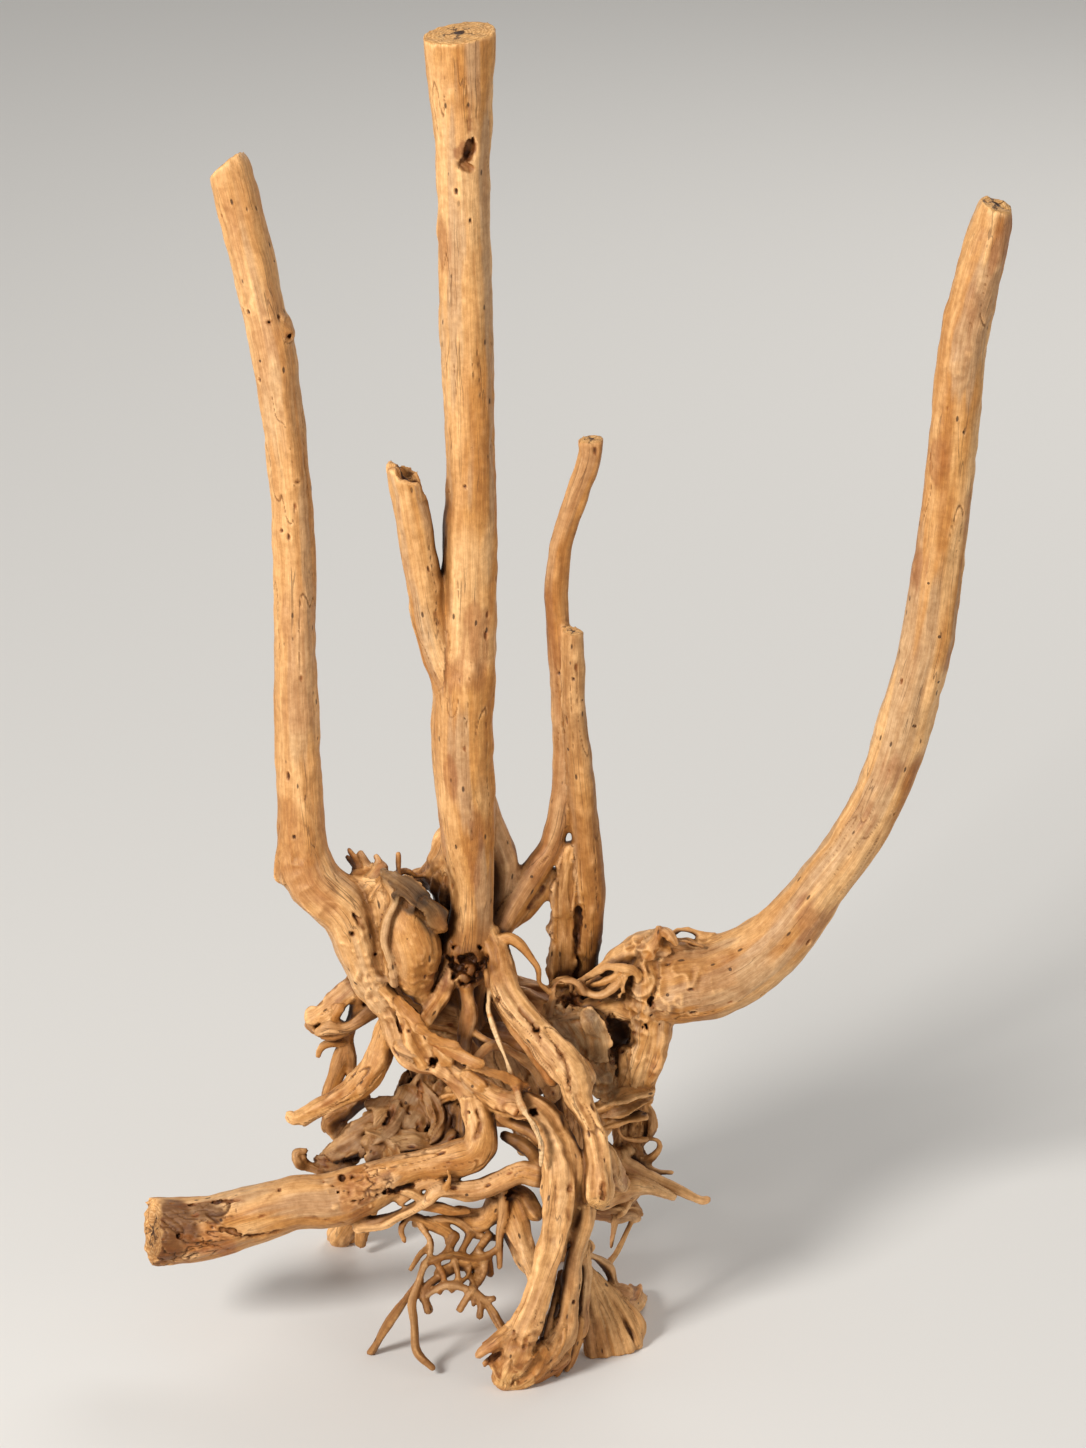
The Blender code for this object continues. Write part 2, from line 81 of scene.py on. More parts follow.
# Strands: (x, y, z, radius) in mm, first the thick limbs that stand up or lie to the side.
LIMBS = {
    "tall_limb": [(-52, -9, 682, 16.5), (-50, -7, 590, 13), (-48, -3, 483, 13), (-48, -2, 421, 13),
        (-49, -1, 376, 13.5), (-51, 0, 350, 15.5), (-52, 1, 310, 15.5), (-50, 2, 272, 14),
        (-48, 2, 239, 11), (-49, 1, 213, 11), (-52, 0, 194, 11.5)],
    "side_branch": [(-81, -9, 462, 8.5), (-72, -7, 407, 8.5), (-69, -5, 383, 8), (-64, -3, 361, 8.5),
        (-55, 0, 342, 11)],
    "flange": [(-45, 9, 285, 8), (-36, 15, 256, 8.5), (-32, 17, 240, 8), (-35, 15, 223, 5.5),
        (-40, 9, 205, 4)],
    "left_limb": [(-165, 31, 601, 11), (-147, 25, 523, 11), (-142, 22, 491, 10.5), (-138, 19, 453, 10),
        (-136, 16, 410, 10), (-134, 7, 286, 12), (-130, 1, 244, 15.5), (-111, -2, 223, 14.5),
        (-101, -6, 193, 11), (-94, -8, 180, 8)],
    "right_limb": [(206, -3, 588, 9.5), (202, -3, 569, 11.5), (197, -2, 544, 12), (193, -1, 518, 12.5),
        (188, 2, 446, 12), (184, 4, 409, 12), (179, 6, 366, 12.5), (171, 7, 329, 13), (162, 9, 294, 13),
        (148, 10, 262, 13.5), (129, 11, 233, 14), (110, 12, 207, 15), (92, 13, 191, 17),
        (75, 13, 182, 18.5), (59, 13, 179, 19.5), (44, 12, 175, 17)],
    "thin_limb": [(12, 15, 467, 6), (11, 15, 456, 5.5), (-1, 18, 419, 5.5), (-4, 19, 401, 5.5),
        (-5, 20, 377, 6), (-1, 23, 318, 6), (-2, 23, 280, 6), (-7, 22, 253, 6), (-15, 20, 239, 6.5),
        (-23, 16, 227, 7), (-30, 11, 216, 6.5), (-36, 5, 206, 5)],
    "thin_limb_ridge": [(-7, 24, 235, 2.5), (-13, 22, 224, 4), (-21, 19, 216, 4.5), (-30, 13, 211, 3)],
    "stub_limb": [(3, 11, 370, 4.5), (4, 14, 326, 5.5), (11, 22, 240, 7.5), (12, 24, 220, 7),
        (10, 29, 174, 6)],
    "stump_limb": [(-215, -43, 66, 16.5), (-183, -42, 68, 16), (-140, -40, 80, 15), (-120, -39, 81, 15),
        (-104, -38, 86, 14), (-78, -39, 99, 8.5), (-66, -40, 102, 9), (-55, -40, 104, 10),
        (-46, -39, 108, 10), (-43, -37, 117, 9), (-48, -29, 135, 6)],
    "burl": [(-86, -3, 233, 9), (-82, -7, 219, 13.5), (-78, -9, 206, 14.5), (-77, -9, 193, 11),
        (-74, -9, 180, 4)],
    "left_knot": [(-141, 23, 523, 6), (-139, 21, 521, 5)],
    "right_bump": [(194, -9, 520, 4), (191, -9, 513, 3.5)],
}

# The knotted middle where they meet.
CROWN = {
    "elbow_knob": [(-139, -1, 251, 7), (-140, -1, 245, 7)],
    "shoulder": [(-103, 5, 237, 6.5), (-95, 2, 235, 8), (-91, -3, 228, 9), (-90, -8, 197, 7)],
    "flare_left": [(-81, 31, 228, 3.5), (-70, 27, 231, 6.5), (-61, 19, 238, 10.5), (-54, 11, 254, 12.5)],
    "shoulder_hair": [(-104, -14, 198, 1), (-95, -16, 193, 1), (-90, -15, 192, 1)],
    "right_body": [(43, 11, 180, 16.5), (43, 9, 165, 12.5), (42, 7, 151, 12), (39, 5, 138, 11),
        (36, 5, 125, 8.5)],
    "crest_lobe": [(32, 21, 197, 3.5), (37, 23, 199, 2.5), (44, 21, 199, 3)],
    "shoulder_skin": [(12, 2, 169, 5), (23, 5, 170, 6), (32, 7, 166, 6.5)],
    "knuckle": [(8, -45, 155, 5), (10, -47, 153, 4.5)],
    "crown_heart": [(-51, 11, 209, 12), (-47, 27, 180, 14.5), (-41, 39, 150, 14.5), (-32, 45, 121, 12.5),
        (-25, 45, 100, 9.5), (-20, 37, 85, 6)],
    "splinter_a": [(-100, 5, 238, 3), (-104, 9, 243, 2.5), (-110, 11, 252, 1)],
    "splinter_d": [(-104, 11, 239, 2), (-111, 14, 247, 1)],
    "splinter_e": [(-98, 7, 240, 2), (-104, 9, 251, 1)],
    "splinter_b": [(-94, 3, 237, 2.5), (-96, 6, 243, 1.5), (-95, 6, 248, 1), (-96, 7, 250, 1)],
    "splinter_c": [(-85, 1, 235, 2.5), (-85, 5, 241, 1), (-85, 8, 251, 1.5)],
    "splinter_f": [(-88, 9, 238, 1.5), (-82, 11, 241, 1), (-76, 13, 237, 1), (-69, 15, 238, 1)],
    "crumb_a": [(-101, -1, 238, 3), (-97, 1, 242, 3), (-93, 5, 245, 2)],
    "crumb_b": [(-97, -7, 234, 2.5), (-92, -5, 240, 3), (-89, -1, 243, 2)],
    "crumb_c": [(-88, -11, 234, 2), (-88, -8, 239, 2.5), (-85, -5, 242, 2)],
    "vine": [(-90, -10, 244, 2.5), (-86, -16, 236, 2), (-90, -19, 227, 2), (-92, -21, 216, 2),
        (-89, -21, 204, 2), (-87, -18, 191, 1.5)],
    "pillar_left": [(-56, -3, 203, 6.5), (-60, -6, 191, 4.5), (-64, -9, 180, 4.5), (-76, -17, 165, 5)],
    "pillar_mid": [(-52, -3, 191, 4.5), (-51, -5, 181, 3), (-49, -7, 172, 4.5), (-50, -8, 165, 4.5),
        (-52, -11, 156, 3.5), (-53, -17, 149, 3)],
    "shoulder_web": [(9, 14, 172, 4.5), (18, 13, 178, 6.5), (37, 14, 191, 8)],
    "right_crest": [(20, 7, 189, 3.5), (28, 10, 194, 6), (37, 12, 198, 8.5), (45, 12, 199, 9)],
    "rim_back": [(51, 19, 201, 2.5), (55, 20, 204, 1.5), (60, 20, 205, 1.5), (66, 19, 204, 1.5),
        (73, 17, 200, 3.5)],
    "rim_peak": [(40, 5, 199, 5), (45, 5, 207, 3), (46, 6, 212, 1.5)],
    "crest_right": [(42, 11, 197, 8), (56, 13, 196, 7), (70, 13, 193, 6)],
    "socket_low": [(31, 0, 146, 5), (32, 0, 136, 6), (28, 1, 126, 6)],
    "mid_knob_a": [(-82, -20, 158, 4.5), (-78, -22, 157, 4.5)],
    "mid_knob_b": [(-64, -25, 158, 3.5), (-60, -27, 154, 3.5)],
    "mid_knob_c": [(-49, -32, 146, 4), (-44, -34, 143, 4)],
}

# Crumpled bark and wrinkled grey folds.
BARK = {
    "sheet_top": [(-3, -1, 172, 4), (12, 0, 163, 5.5), (15, 2, 155, 5)],
    "sheet_mid": [(0, 0, 166, 4.5), (-2, 2, 157, 5), (3, 5, 151, 6.5), (10, 6, 145, 7), (13, 5, 136, 6)],
    "sheet_lip": [(-7, -5, 166, 2), (8, -5, 170, 2), (16, -5, 169, 2), (19, -4, 163, 2),
        (17, -2, 155, 2)],
    "socket_back": [(-3, 13, 175, 5), (3, 13, 174, 5), (2, 3, 171, 4.5)],
    "fold_a": [(-120, -3, 91, 4.5), (-113, -1, 95, 6.5), (-103, -2, 99, 7.5), (-91, -3, 103, 8),
        (-83, -3, 107, 7)],
    "fold_b": [(-80, 9, 127, 4.5), (-83, 5, 111, 7.5), (-84, 0, 103, 8.5), (-89, -5, 97, 6.5)],
    "fold_c": [(-75, 7, 135, 5), (-71, 8, 123, 7), (-68, 5, 113, 8.5), (-65, 0, 106, 9.5),
        (-67, -5, 98, 8.5)],
    "fold_d": [(-61, 2, 116, 6), (-57, -3, 110, 6.5), (-57, -9, 101, 6)],
    "fold_end": [(-113, -11, 89, 6), (-125, -5, 87, 4.5)],
    "fold_root": [(-96, -4, 100, 6.5), (-91, -15, 97, 7), (-87, -27, 96, 7)],
    "fold_tie": [(-62, 1, 118, 5.5), (-51, -23, 134, 5)],
    "rag_left": [(-125, -9, 84, 2.5), (-132, -7, 86, 2.5), (-136, -7, 88, 3.5), (-138, -7, 93, 2),
        (-134, -7, 94, 1.5)],
    "brown_core": [(35, 11, 116, 7), (34, 13, 101, 7.5), (32, 11, 89, 7.5), (35, 7, 79, 6),
        (32, -3, 72, 6), (27, -7, 64, 5.5)],
    "spur_lump": [(17, -11, 65, 5.5), (26, -7, 63, 6), (33, -4, 61, 4.5), (36, -3, 58, 3.5)],
    "fold_swell_a": [(-73, -1, 125, 4.5), (-67, -7, 120, 5.5), (-64, -13, 113, 5.5), (-68, -19, 108, 4)],
    "fold_swell_b": [(-58, -5, 123, 3.5), (-54, -11, 118, 4), (-53, -17, 110, 4)],
    "fold_swell_c": [(-85, -5, 117, 4), (-89, -11, 111, 4.5), (-96, -17, 106, 4)],
}

# Roots from the crown down to the toes, with their knobs, hooks and curls.
ROOTS = {
    "pillar_right": [(-42, 2, 204, 4.5), (-45, 8, 170, 3.5), (-45, 10, 157, 4), (-43, 10, 148, 3.5)],
    "diagonal_edge": [(-40, -9, 192, 3), (-34, -17, 181, 4), (-16, -33, 161, 4), (-7, -41, 149, 4)],
    "heel_web": [(20, -55, 115, 3), (23, -49, 102, 4), (28, -37, 89, 4)],
    "sinew_low": [(-100, -7, 187, 6), (-90, -9, 175, 6.5), (-82, -15, 155, 6.5), (-74, -19, 150, 7),
        (-65, -22, 148, 6.5), (-56, -25, 142, 6), (-49, -29, 136, 5.5)],
    "sinew_mid": [(-93, -13, 187, 3), (-85, -15, 179, 3.5), (-79, -18, 170, 5), (-75, -20, 161, 6.5),
        (-70, -21, 153, 6)],
    "arch": [(-59, -25, 147, 4.5), (-41, -32, 138, 6), (-32, -37, 135, 7), (-23, -41, 135, 7.5)],
    "front_leg": [(-23, -41, 135, 7.5), (-15, -45, 134, 7.5), (-8, -49, 127, 7.5), (-4, -54, 116, 9),
        (-2, -59, 103, 9.5), (-6, -68, 78, 8), (-9, -73, 65, 7), (-17, -81, 43, 7.5), (-22, -85, 32, 8.5),
        (-26, -87, 22, 9.5)],
    "front_leg_right": [(6, -55, 100, 4.5), (9, -57, 85, 5.5), (6, -61, 71, 6), (3, -64, 60, 5),
        (1, -70, 36, 5), (-2, -74, 24, 6.5), (-8, -79, 17, 6.5), (-15, -82, 11, 6.5)],
    "front_leg_rear": [(8, -59, 64, 3.5), (10, -57, 51, 3), (9, -58, 34, 3.5), (7, -61, 19, 4.5),
        (2, -63, 8, 5), (-2, -65, -1, 4), (-4, -66, -4, 2.5)],
    "toe_mid": [(-24, -87, 21, 7), (-30, -89, 13, 7), (-33, -89, 6, 5)],
    "toe_right": [(-14, -83, 17, 6), (-17, -86, 10, 6.5), (-24, -88, 4, 4.5), (-31, -89, 3, 3.5)],
    "toe_edge": [(-3, -75, 11, 4), (-10, -79, 7, 4.5), (-16, -83, 3, 3.5)],
    "leg_behind": [(-31, -41, 94, 5), (-33, -33, 82, 6), (-29, -35, 74, 7), (-25, -40, 64, 6.5),
        (-21, -47, 54, 5), (-17, -59, 48, 4), (-14, -69, 46, 4)],
    "fan_knob": [(21, -31, 27, 3), (27, -30, 28, 3.5), (31, -30, 26, 4)],
    "hook_root": [(-90, -7, 170, 4.5), (-96, -11, 147, 6.5), (-102, -13, 138, 6.5), (-111, -15, 130, 6),
        (-135, -20, 119, 3.5), (-140, -21, 119, 2.5)],
    "hook_toe": [(-124, -17, 120, 2.5), (-133, -20, 115, 1.5)],
    "knob_a": [(-107, 11, 178, 5), (-116, 14, 170, 4.5), (-123, 15, 163, 4), (-129, 14, 158, 5),
        (-128, 13, 155, 4)],
    "knob_b": [(-97, 9, 167, 4), (-112, 7, 157, 3), (-121, 6, 157, 3.5), (-126, 6, 155, 2.5)],
    "knob_stem": [(-105, 9, 176, 4.5), (-107, 13, 165, 3.5), (-111, 15, 152, 3), (-115, 17, 137, 4),
        (-122, 17, 115, 3.5), (-120, 17, 104, 3.5)],
    "knob_foot": [(-105, 17, 113, 4), (-114, 17, 106, 4.5), (-122, 15, 101, 4), (-118, 19, 94, 3.5)],
    "rim_front": [(43, 7, 203, 4.5), (48, 7, 209, 2.5), (52, 2, 209, 2.5), (55, 0, 205, 2)],
    "ledge_a": [(16, -1, 115, 3.5), (24, -4, 121, 4), (33, -4, 125, 4), (41, -1, 125, 3.5)],
    "ledge_b": [(20, -4, 111, 2.5), (28, -6, 117, 3), (35, -5, 120, 2.5), (42, -2, 121, 2.5)],
    "spur_long": [(30, 7, 87, 5), (28, -2, 86, 4), (37, -3, 80, 4), (66, -5, 67, 2.5), (72, -5, 66, 2)],
    "spur_broad": [(17, -17, 72, 6), (24, -12, 73, 7), (34, -10, 75, 5.5), (43, -9, 74, 3.5),
        (54, -9, 69, 1.5)],
    "cross_root": [(-14, -49, 99, 5), (-24, -47, 100, 5), (-40, -46, 92, 4.5), (-49, -46, 90, 4.5),
        (-64, -48, 91, 3.5), (-72, -47, 84, 3), (-92, -43, 71, 3.5), (-105, -41, 68, 3.5)],
    "cross_upper": [(-84, -43, 83, 2.5), (-75, -45, 91, 2.5), (-65, -45, 95, 2)],
    "cross_lump": [(-55, -33, 71, 4.5), (-47, -32, 67, 6), (-39, -33, 70, 5), (-36, -37, 79, 3.5)],
    "inner_grey": [(-44, 11, 152, 4.5), (-34, 7, 152, 6), (-24, 5, 149, 6.5), (-16, -1, 143, 5.5),
        (-10, -7, 135, 5.5), (-7, -15, 129, 4.5)],
    "inner_cross": [(-49, -27, 150, 2.5), (-43, -25, 156, 2.5), (-38, -21, 158, 2.5),
        (-31, -17, 155, 2.5), (-23, -13, 148, 2.5), (-17, -11, 142, 2.5), (-13, -13, 135, 2.5)],
    "rot_a": [(-34, -37, 126, 2.5), (-27, -37, 122, 3), (-19, -41, 121, 3.5), (-13, -45, 117, 3.5)],
    "rot_b": [(-31, -31, 113, 3), (-24, -33, 110, 4), (-17, -39, 107, 4), (-13, -47, 104, 4)],
    "socket_floor": [(-28, -31, 82, 5.5), (-21, -35, 81, 5), (-16, -43, 76, 4.5)],
    "spur_start": [(20, -3, 96, 2.5), (23, -4, 92, 3), (28, -2, 86, 3)],
    "fan_a": [(2, -61, 74, 4.5), (5, -55, 58, 3.5), (7, -49, 39, 3), (9, -49, 22, 3), (13, -53, -1, 3)],
    "fan_b": [(5, -57, 62, 2.5), (10, -47, 39, 2.5), (14, -48, 23, 2.5), (19, -52, -1, 3.5)],
    "fan_e": [(7, -53, 56, 2), (13, -44, 36, 2.5), (20, -45, 21, 2.5), (24, -49, 9, 3.5),
        (26, -50, 0, 3.5)],
    "fan_c": [(9, -48, 50, 2), (17, -40, 31, 2.5), (25, -42, 18, 2.5), (29, -46, 7, 3.5),
        (31, -47, 1, 3.5)],
    "fan_d": [(12, -43, 45, 2), (22, -37, 28, 2.5), (29, -38, 17, 3), (34, -41, 8, 3), (35, -43, 4, 3.5)],
    "fan_f": [(16, -38, 38, 2), (26, -34, 25, 2.5), (34, -34, 17, 2.5), (38, -36, 10, 3),
        (37, -39, 5, 3)],
    "fan_back": [(9, -43, 41, 3), (14, -37, 23, 4.5), (18, -37, 9, 5.5), (20, -41, -1, 4.5)],
    "fan_back_b": [(14, -37, 36, 3), (23, -31, 20, 4), (32, -31, 9, 5.5), (34, -36, 3, 5)],
    "fan_foot": [(12, -51, -3, 2.5), (20, -49, -4, 3), (28, -46, -2, 3), (36, -42, 1, 3)],
    "leg_fill": [(1, -57, 44, 4.5), (-6, -69, 21, 6), (-9, -75, 14, 5)],
    "leg_groove_root": [(-3, -61, 51, 2), (-8, -75, 33, 2), (-11, -80, 24, 2)],
    "toe_left": [(-27, -85, 31, 4), (-34, -89, 27, 3.5), (-45, -92, 20, 2)],
    "toe_left_b": [(-25, -83, 26, 3.5), (-41, -91, 15, 1.5)],
    "toe_left_c": [(-28, -81, 30, 3), (-41, -86, 23, 2)],
    "toe_fringe_a": [(2, -71, 24, 3), (0, -73, 14, 3), (-5, -76, 1, 1.5)],
    "toe_fringe_b": [(6, -63, 25, 3), (4, -66, 15, 3), (0, -70, 1, 1.5)],
    "bulb_ridge_a": [(-30, -97, 31, 2), (-32, -101, 24, 2), (-34, -101, 15, 2)],
    "bulb_ridge_c": [(-17, -97, 28, 2), (-19, -101, 20, 2.5), (-23, -100, 9, 2)],
    "diagonal_root": [(-38, -1, 212, 4), (-34, -7, 203, 5.5), (-32, -15, 194, 6.5), (-28, -23, 185, 7.5),
        (-17, -32, 174, 7), (2, -47, 155, 8.5), (5, -50, 143, 7), (11, -54, 131, 5.5), (14, -57, 120, 6),
        (15, -60, 110, 7), (15, -62, 96, 8)],
}

# The back, which the photo doesn't show.
BACK = {
    "crown_back": [(-99, 17, 191, 12), (-83, 32, 175, 14.5), (-65, 42, 164, 16), (-43, 47, 155, 17),
        (-22, 49, 149, 16.5), (-1, 47, 145, 15), (17, 39, 147, 13.5), (38, 25, 161, 13)],
    "crown_low": [(-78, 43, 148, 11), (-59, 51, 127, 13.5), (-34, 55, 115, 14), (-10, 53, 118, 12.5),
        (10, 45, 126, 10), (27, 29, 137, 8)],
    "back_riser": [(-50, 21, 207, 11), (-45, 33, 180, 11.5), (-39, 43, 151, 10.5)],
    "back_knob": [(-50, 65, 156, 8.5), (-39, 73, 142, 7)],
    "back_swell": [(0, 59, 145, 9.5), (13, 59, 133, 8), (21, 57, 116, 6)],
    "back_flute": [(-70, 35, 182, 9), (-80, 23, 204, 8), (-86, 9, 223, 7)],
    "back_limb": [(-59, 11, 236, 8), (-57, 29, 207, 9), (-54, 45, 178, 9.5)],
    "back_root_left": [(-67, 43, 151, 9), (-75, 57, 95, 7.5), (-83, 63, 70, 7.5), (-109, 78, 24, 7.5),
        (-118, 85, 5, 7.5), (-122, 91, -7, 6)],
    "back_stub": [(-102, 71, 33, 4.5), (-106, 69, 19, 4.5), (-108, 68, 8, 3.5)],
    "back_root_right": [(-7, 47, 133, 9), (-2, 55, 101, 8.5), (2, 60, 65, 7.5), (3, 63, 30, 7.5),
        (2, 67, 8, 8), (1, 68, -4, 7.5)],
    "back_tie": [(-34, 45, 134, 8.5), (-24, 41, 107, 7.5), (-16, 25, 92, 6.5), (-9, -5, 85, 6),
        (-5, -45, 87, 5)],
    "back_spur": [(23, 39, 136, 7), (27, 53, 108, 5.5), (20, 67, 79, 4.5), (13, 79, 56, 3.5)],
    "back_cross": [(-74, 57, 100, 5), (-50, 65, 85, 4.5), (-24, 65, 80, 4.5), (-1, 55, 90, 4.5)],
    "back_rib_a": [(-58, 67, 147, 4.5), (-66, 69, 118, 5), (-66, 67, 90, 4), (-60, 63, 69, 3)],
    "back_rib_b": [(-24, 71, 142, 4), (-30, 71, 111, 4.5), (-28, 63, 86, 3.5), (-22, 49, 70, 2.5)],
    "back_rib_c": [(-9, 65, 136, 4), (12, 57, 117, 4), (24, 45, 102, 3.5), (27, 31, 92, 3.5)],
    "back_toe": [(26, -35, 15, 4.5), (34, -10, 9, 5), (36, 13, 4, 5.5), (36, 19, -3, 4)],
}

# Thin rootlets.
ROOTLETS = {
    "hook_twig": [(-34, -3, 207, 3.5), (-30, -5, 211, 3), (-24, -7, 208, 2.5), (-15, -10, 197, 2),
        (-14, -9, 188, 1.5), (-9, -7, 182, 1.5)],
    "pale_rootlet": [(-38, -11, 188, 2), (-39, -21, 183, 1.5), (-38, -26, 175, 1.5), (-26, -45, 148, 1.5),
        (-23, -55, 141, 1.5), (-17, -61, 133, 1.5), (-13, -67, 125, 1.5), (-13, -69, 114, 1)],
    "fan_twig": [(9, -50, 56, 2), (15, -39, 49, 2), (21, -33, 41, 2.5), (24, -31, 32, 2.5)],
    "fan_hair_a": [(35, -3, 56, 1.5), (27, -17, 44, 1.5), (20, -31, 40, 2)],
    "fan_hair_b": [(26, -9, 61, 2), (23, -15, 44, 1)],
    "leg_curl": [(8, -53, 66, 2.5), (13, -51, 61, 2), (9, -53, 57, 2), (11, -51, 52, 2)],
    "knob_flake": [(-116, 9, 167, 3.5), (-119, 8, 161, 3.5), (-115, 8, 158, 2.5)],
    "knob_c": [(-124, 7, 152, 2), (-119, 7, 151, 2), (-111, 7, 155, 2)],
    "claw": [(-127, 12, 139, 1.5), (-125, 12, 144, 2), (-119, 13, 146, 2.5), (-113, 15, 145, 3),
        (-111, 16, 138, 3.5), (-110, 17, 126, 3.5)],
    "socket_rim": [(-9, -7, 169, 1.5), (-5, -6, 184, 2), (0, -5, 187, 2), (5, -5, 186, 2.5),
        (8, -4, 181, 2.5)],
    "knot_right": [(41, 9, 111, 2), (43, 7, 109, 2.5), (44, 7, 102, 3), (43, 7, 97, 2)],
    "loop_right": [(38, 5, 95, 1.5), (46, 3, 96, 1.5), (48, 3, 92, 1.5), (45, 3, 87, 2),
        (41, 5, 83, 2.5)],
    "hair_right": [(23, -3, 115, 2), (26, -7, 109, 1.5), (28, -8, 103, 1.5), (34, -6, 100, 1.5),
        (41, -1, 98, 1.5)],
    "spur_thin": [(36, 6, 81, 4.5), (45, 2, 79, 2.5), (54, 2, 78, 1.5)],
    "cross_spike": [(-61, -50, 93, 2), (-59, -53, 100, 1), (-60, -54, 104, 1)],
    "cross_chip": [(-83, -47, 90, 2), (-78, -48, 89, 2.5), (-74, -47, 86, 2)],
    "cross_low_a": [(-75, -43, 80, 2.5), (-66, -44, 80, 3), (-58, -43, 77, 2.5), (-50, -41, 76, 1.5)],
    "cross_low_b": [(-78, -39, 72, 2.5), (-61, -39, 64, 3.5), (-58, -39, 60, 2.5)],
    "cross_low_c": [(-77, -37, 67, 2), (-66, -39, 71, 2), (-56, -38, 69, 2.5), (-47, -37, 61, 2),
        (-36, -37, 59, 2)],
    "cross_drop": [(-32, -41, 87, 2.5), (-32, -42, 75, 2), (-34, -43, 64, 2), (-34, -45, 47, 1.5)],
    "hair_a": [(-74, -41, 68, 1.5), (-69, -46, 62, 1.5), (-69, -50, 56, 1.5), (-72, -54, 52, 2),
        (-75, -59, 45, 2), (-78, -63, 35, 2.5), (-77, -68, 24, 2.5), (-76, -72, 13, 2.5),
        (-68, -75, 5, 2)],
    "hair_b": [(-74, -57, 45, 1.5), (-90, -53, 20, 2.5), (-100, -49, 0, 2.5)],
    "hair_c": [(-72, -54, 52, 2), (-64, -52, 55, 2), (-56, -50, 56, 2), (-48, -48, 53, 2),
        (-41, -46, 53, 2), (-35, -44, 57, 1.5)],
    "hair_d": [(-57, -41, 62, 2.5), (-61, -47, 56, 2), (-66, -50, 53, 2)],
    "hair_e": [(-49, -38, 62, 2), (-53, -45, 56, 2), (-56, -48, 53, 2)],
    "hair_f": [(-39, -38, 61, 2), (-51, -47, 50, 2), (-67, -55, 44, 2), (-72, -59, 39, 2),
        (-70, -62, 31, 2.5)],
    "hair_g": [(-73, -60, 36, 1.5), (-61, -60, 44, 2), (-47, -62, 41, 2), (-41, -64, 36, 2),
        (-36, -67, 29, 2.5), (-31, -73, 23, 2)],
    "hair_h": [(-42, -63, 37, 1.5), (-37, -64, 38, 1.5)],
    "hair_i": [(-48, -62, 42, 2), (-54, -66, 33, 2)],
    "hair_j": [(-43, -63, 38, 1.5), (-44, -67, 30, 2)],
    "hair_k": [(-43, -46, 52, 2), (-46, -50, 45, 2), (-48, -59, 41, 2)],
    "hair_l": [(-40, -45, 53, 2), (-39, -45, 43, 2)],
    "hair_m": [(-65, -53, 48, 2), (-56, -50, 50, 2.5), (-47, -48, 49, 2.5)],
    "inner_hair": [(-49, -9, 162, 2), (-41, -17, 160, 1.5), (-35, -18, 158, 1.5)],
    "rim_curl": [(47, 5, 212, 1), (50, 4, 210, 1), (51, 3, 207, 1), (55, 3, 205, 1), (59, 3, 206, 1),
        (69, 5, 202, 1)],
    "curl_a": [(5, 4, 182, 2), (12, 0, 188, 2), (20, -3, 194, 2.5), (27, -5, 195, 2.5),
        (33, -5, 193, 2.5), (37, -4, 187, 2), (37, -2, 181, 1.5)],
    "curl_b": [(7, 0, 184, 2), (11, -4, 180, 2), (17, -6, 180, 2), (22, -7, 183, 2), (32, -6, 192, 1.5)],
    "curl_d": [(13, -1, 183, 1.5), (19, -5, 187, 2), (30, -6, 193, 1.5)],
    "curl_c": [(30, -8, 190, 1), (29, -8, 184, 1.5), (25, -6, 177, 1)],
    "hair_n": [(-61, -40, 61, 1.5), (-58, -49, 55, 1.5), (-55, -57, 47, 1.5), (-58, -61, 41, 1.5)],
    "hair_o": [(-53, -45, 56, 1.5), (-49, -51, 49, 1.5), (-52, -57, 45, 1.5), (-60, -60, 43, 1.5)],
    "hair_p": [(-66, -52, 53, 1.5), (-62, -57, 46, 1.5), (-64, -61, 40, 1.5)],
    "hair_q": [(-45, -44, 56, 1.5), (-41, -48, 49, 1.5), (-44, -55, 43, 1.5), (-49, -61, 41, 1.5)],
    "hair_r": [(-70, -47, 59, 1.5), (-75, -52, 56, 1.5), (-79, -57, 51, 1)],
    "hair_s": [(-80, -41, 73, 1.5), (-84, -45, 68, 1.5), (-82, -49, 63, 1)],
    "hair_t": [(-53, -48, 51, 1.5), (-49, -53, 45, 1.5), (-46, -61, 41, 1.5), (-47, -64, 35, 1.5)],
    "toe_ridge_a": [(-31, -91, 29, 1), (-35, -90, 21, 1.5), (-37, -90, 13, 1.5), (-34, -94, 8, 1)],
    "toe_ridge_b": [(-26, -92, 31, 1), (-30, -100, 27, 1.5), (-32, -102, 19, 1.5), (-30, -94, 6, 1)],
    "toe_ridge_c": [(-20, -94, 28, 1), (-25, -96, 22, 1.5), (-28, -94, 14, 1.5), (-26, -92, 4, 1)],
    "toe_ridge_d": [(-15, -88, 20, 1), (-19, -102, 20, 1.5), (-20, -102, 13, 1)],
    "toe_ridge_e": [(-5, -80, 25, 1), (-7, -84, 19, 1.5), (-11, -89, 15, 1)],
    "toe_ridge_f": [(-1, -78, 30, 0.5), (-2, -82, 22, 1), (-5, -86, 17, 0.5)],
}

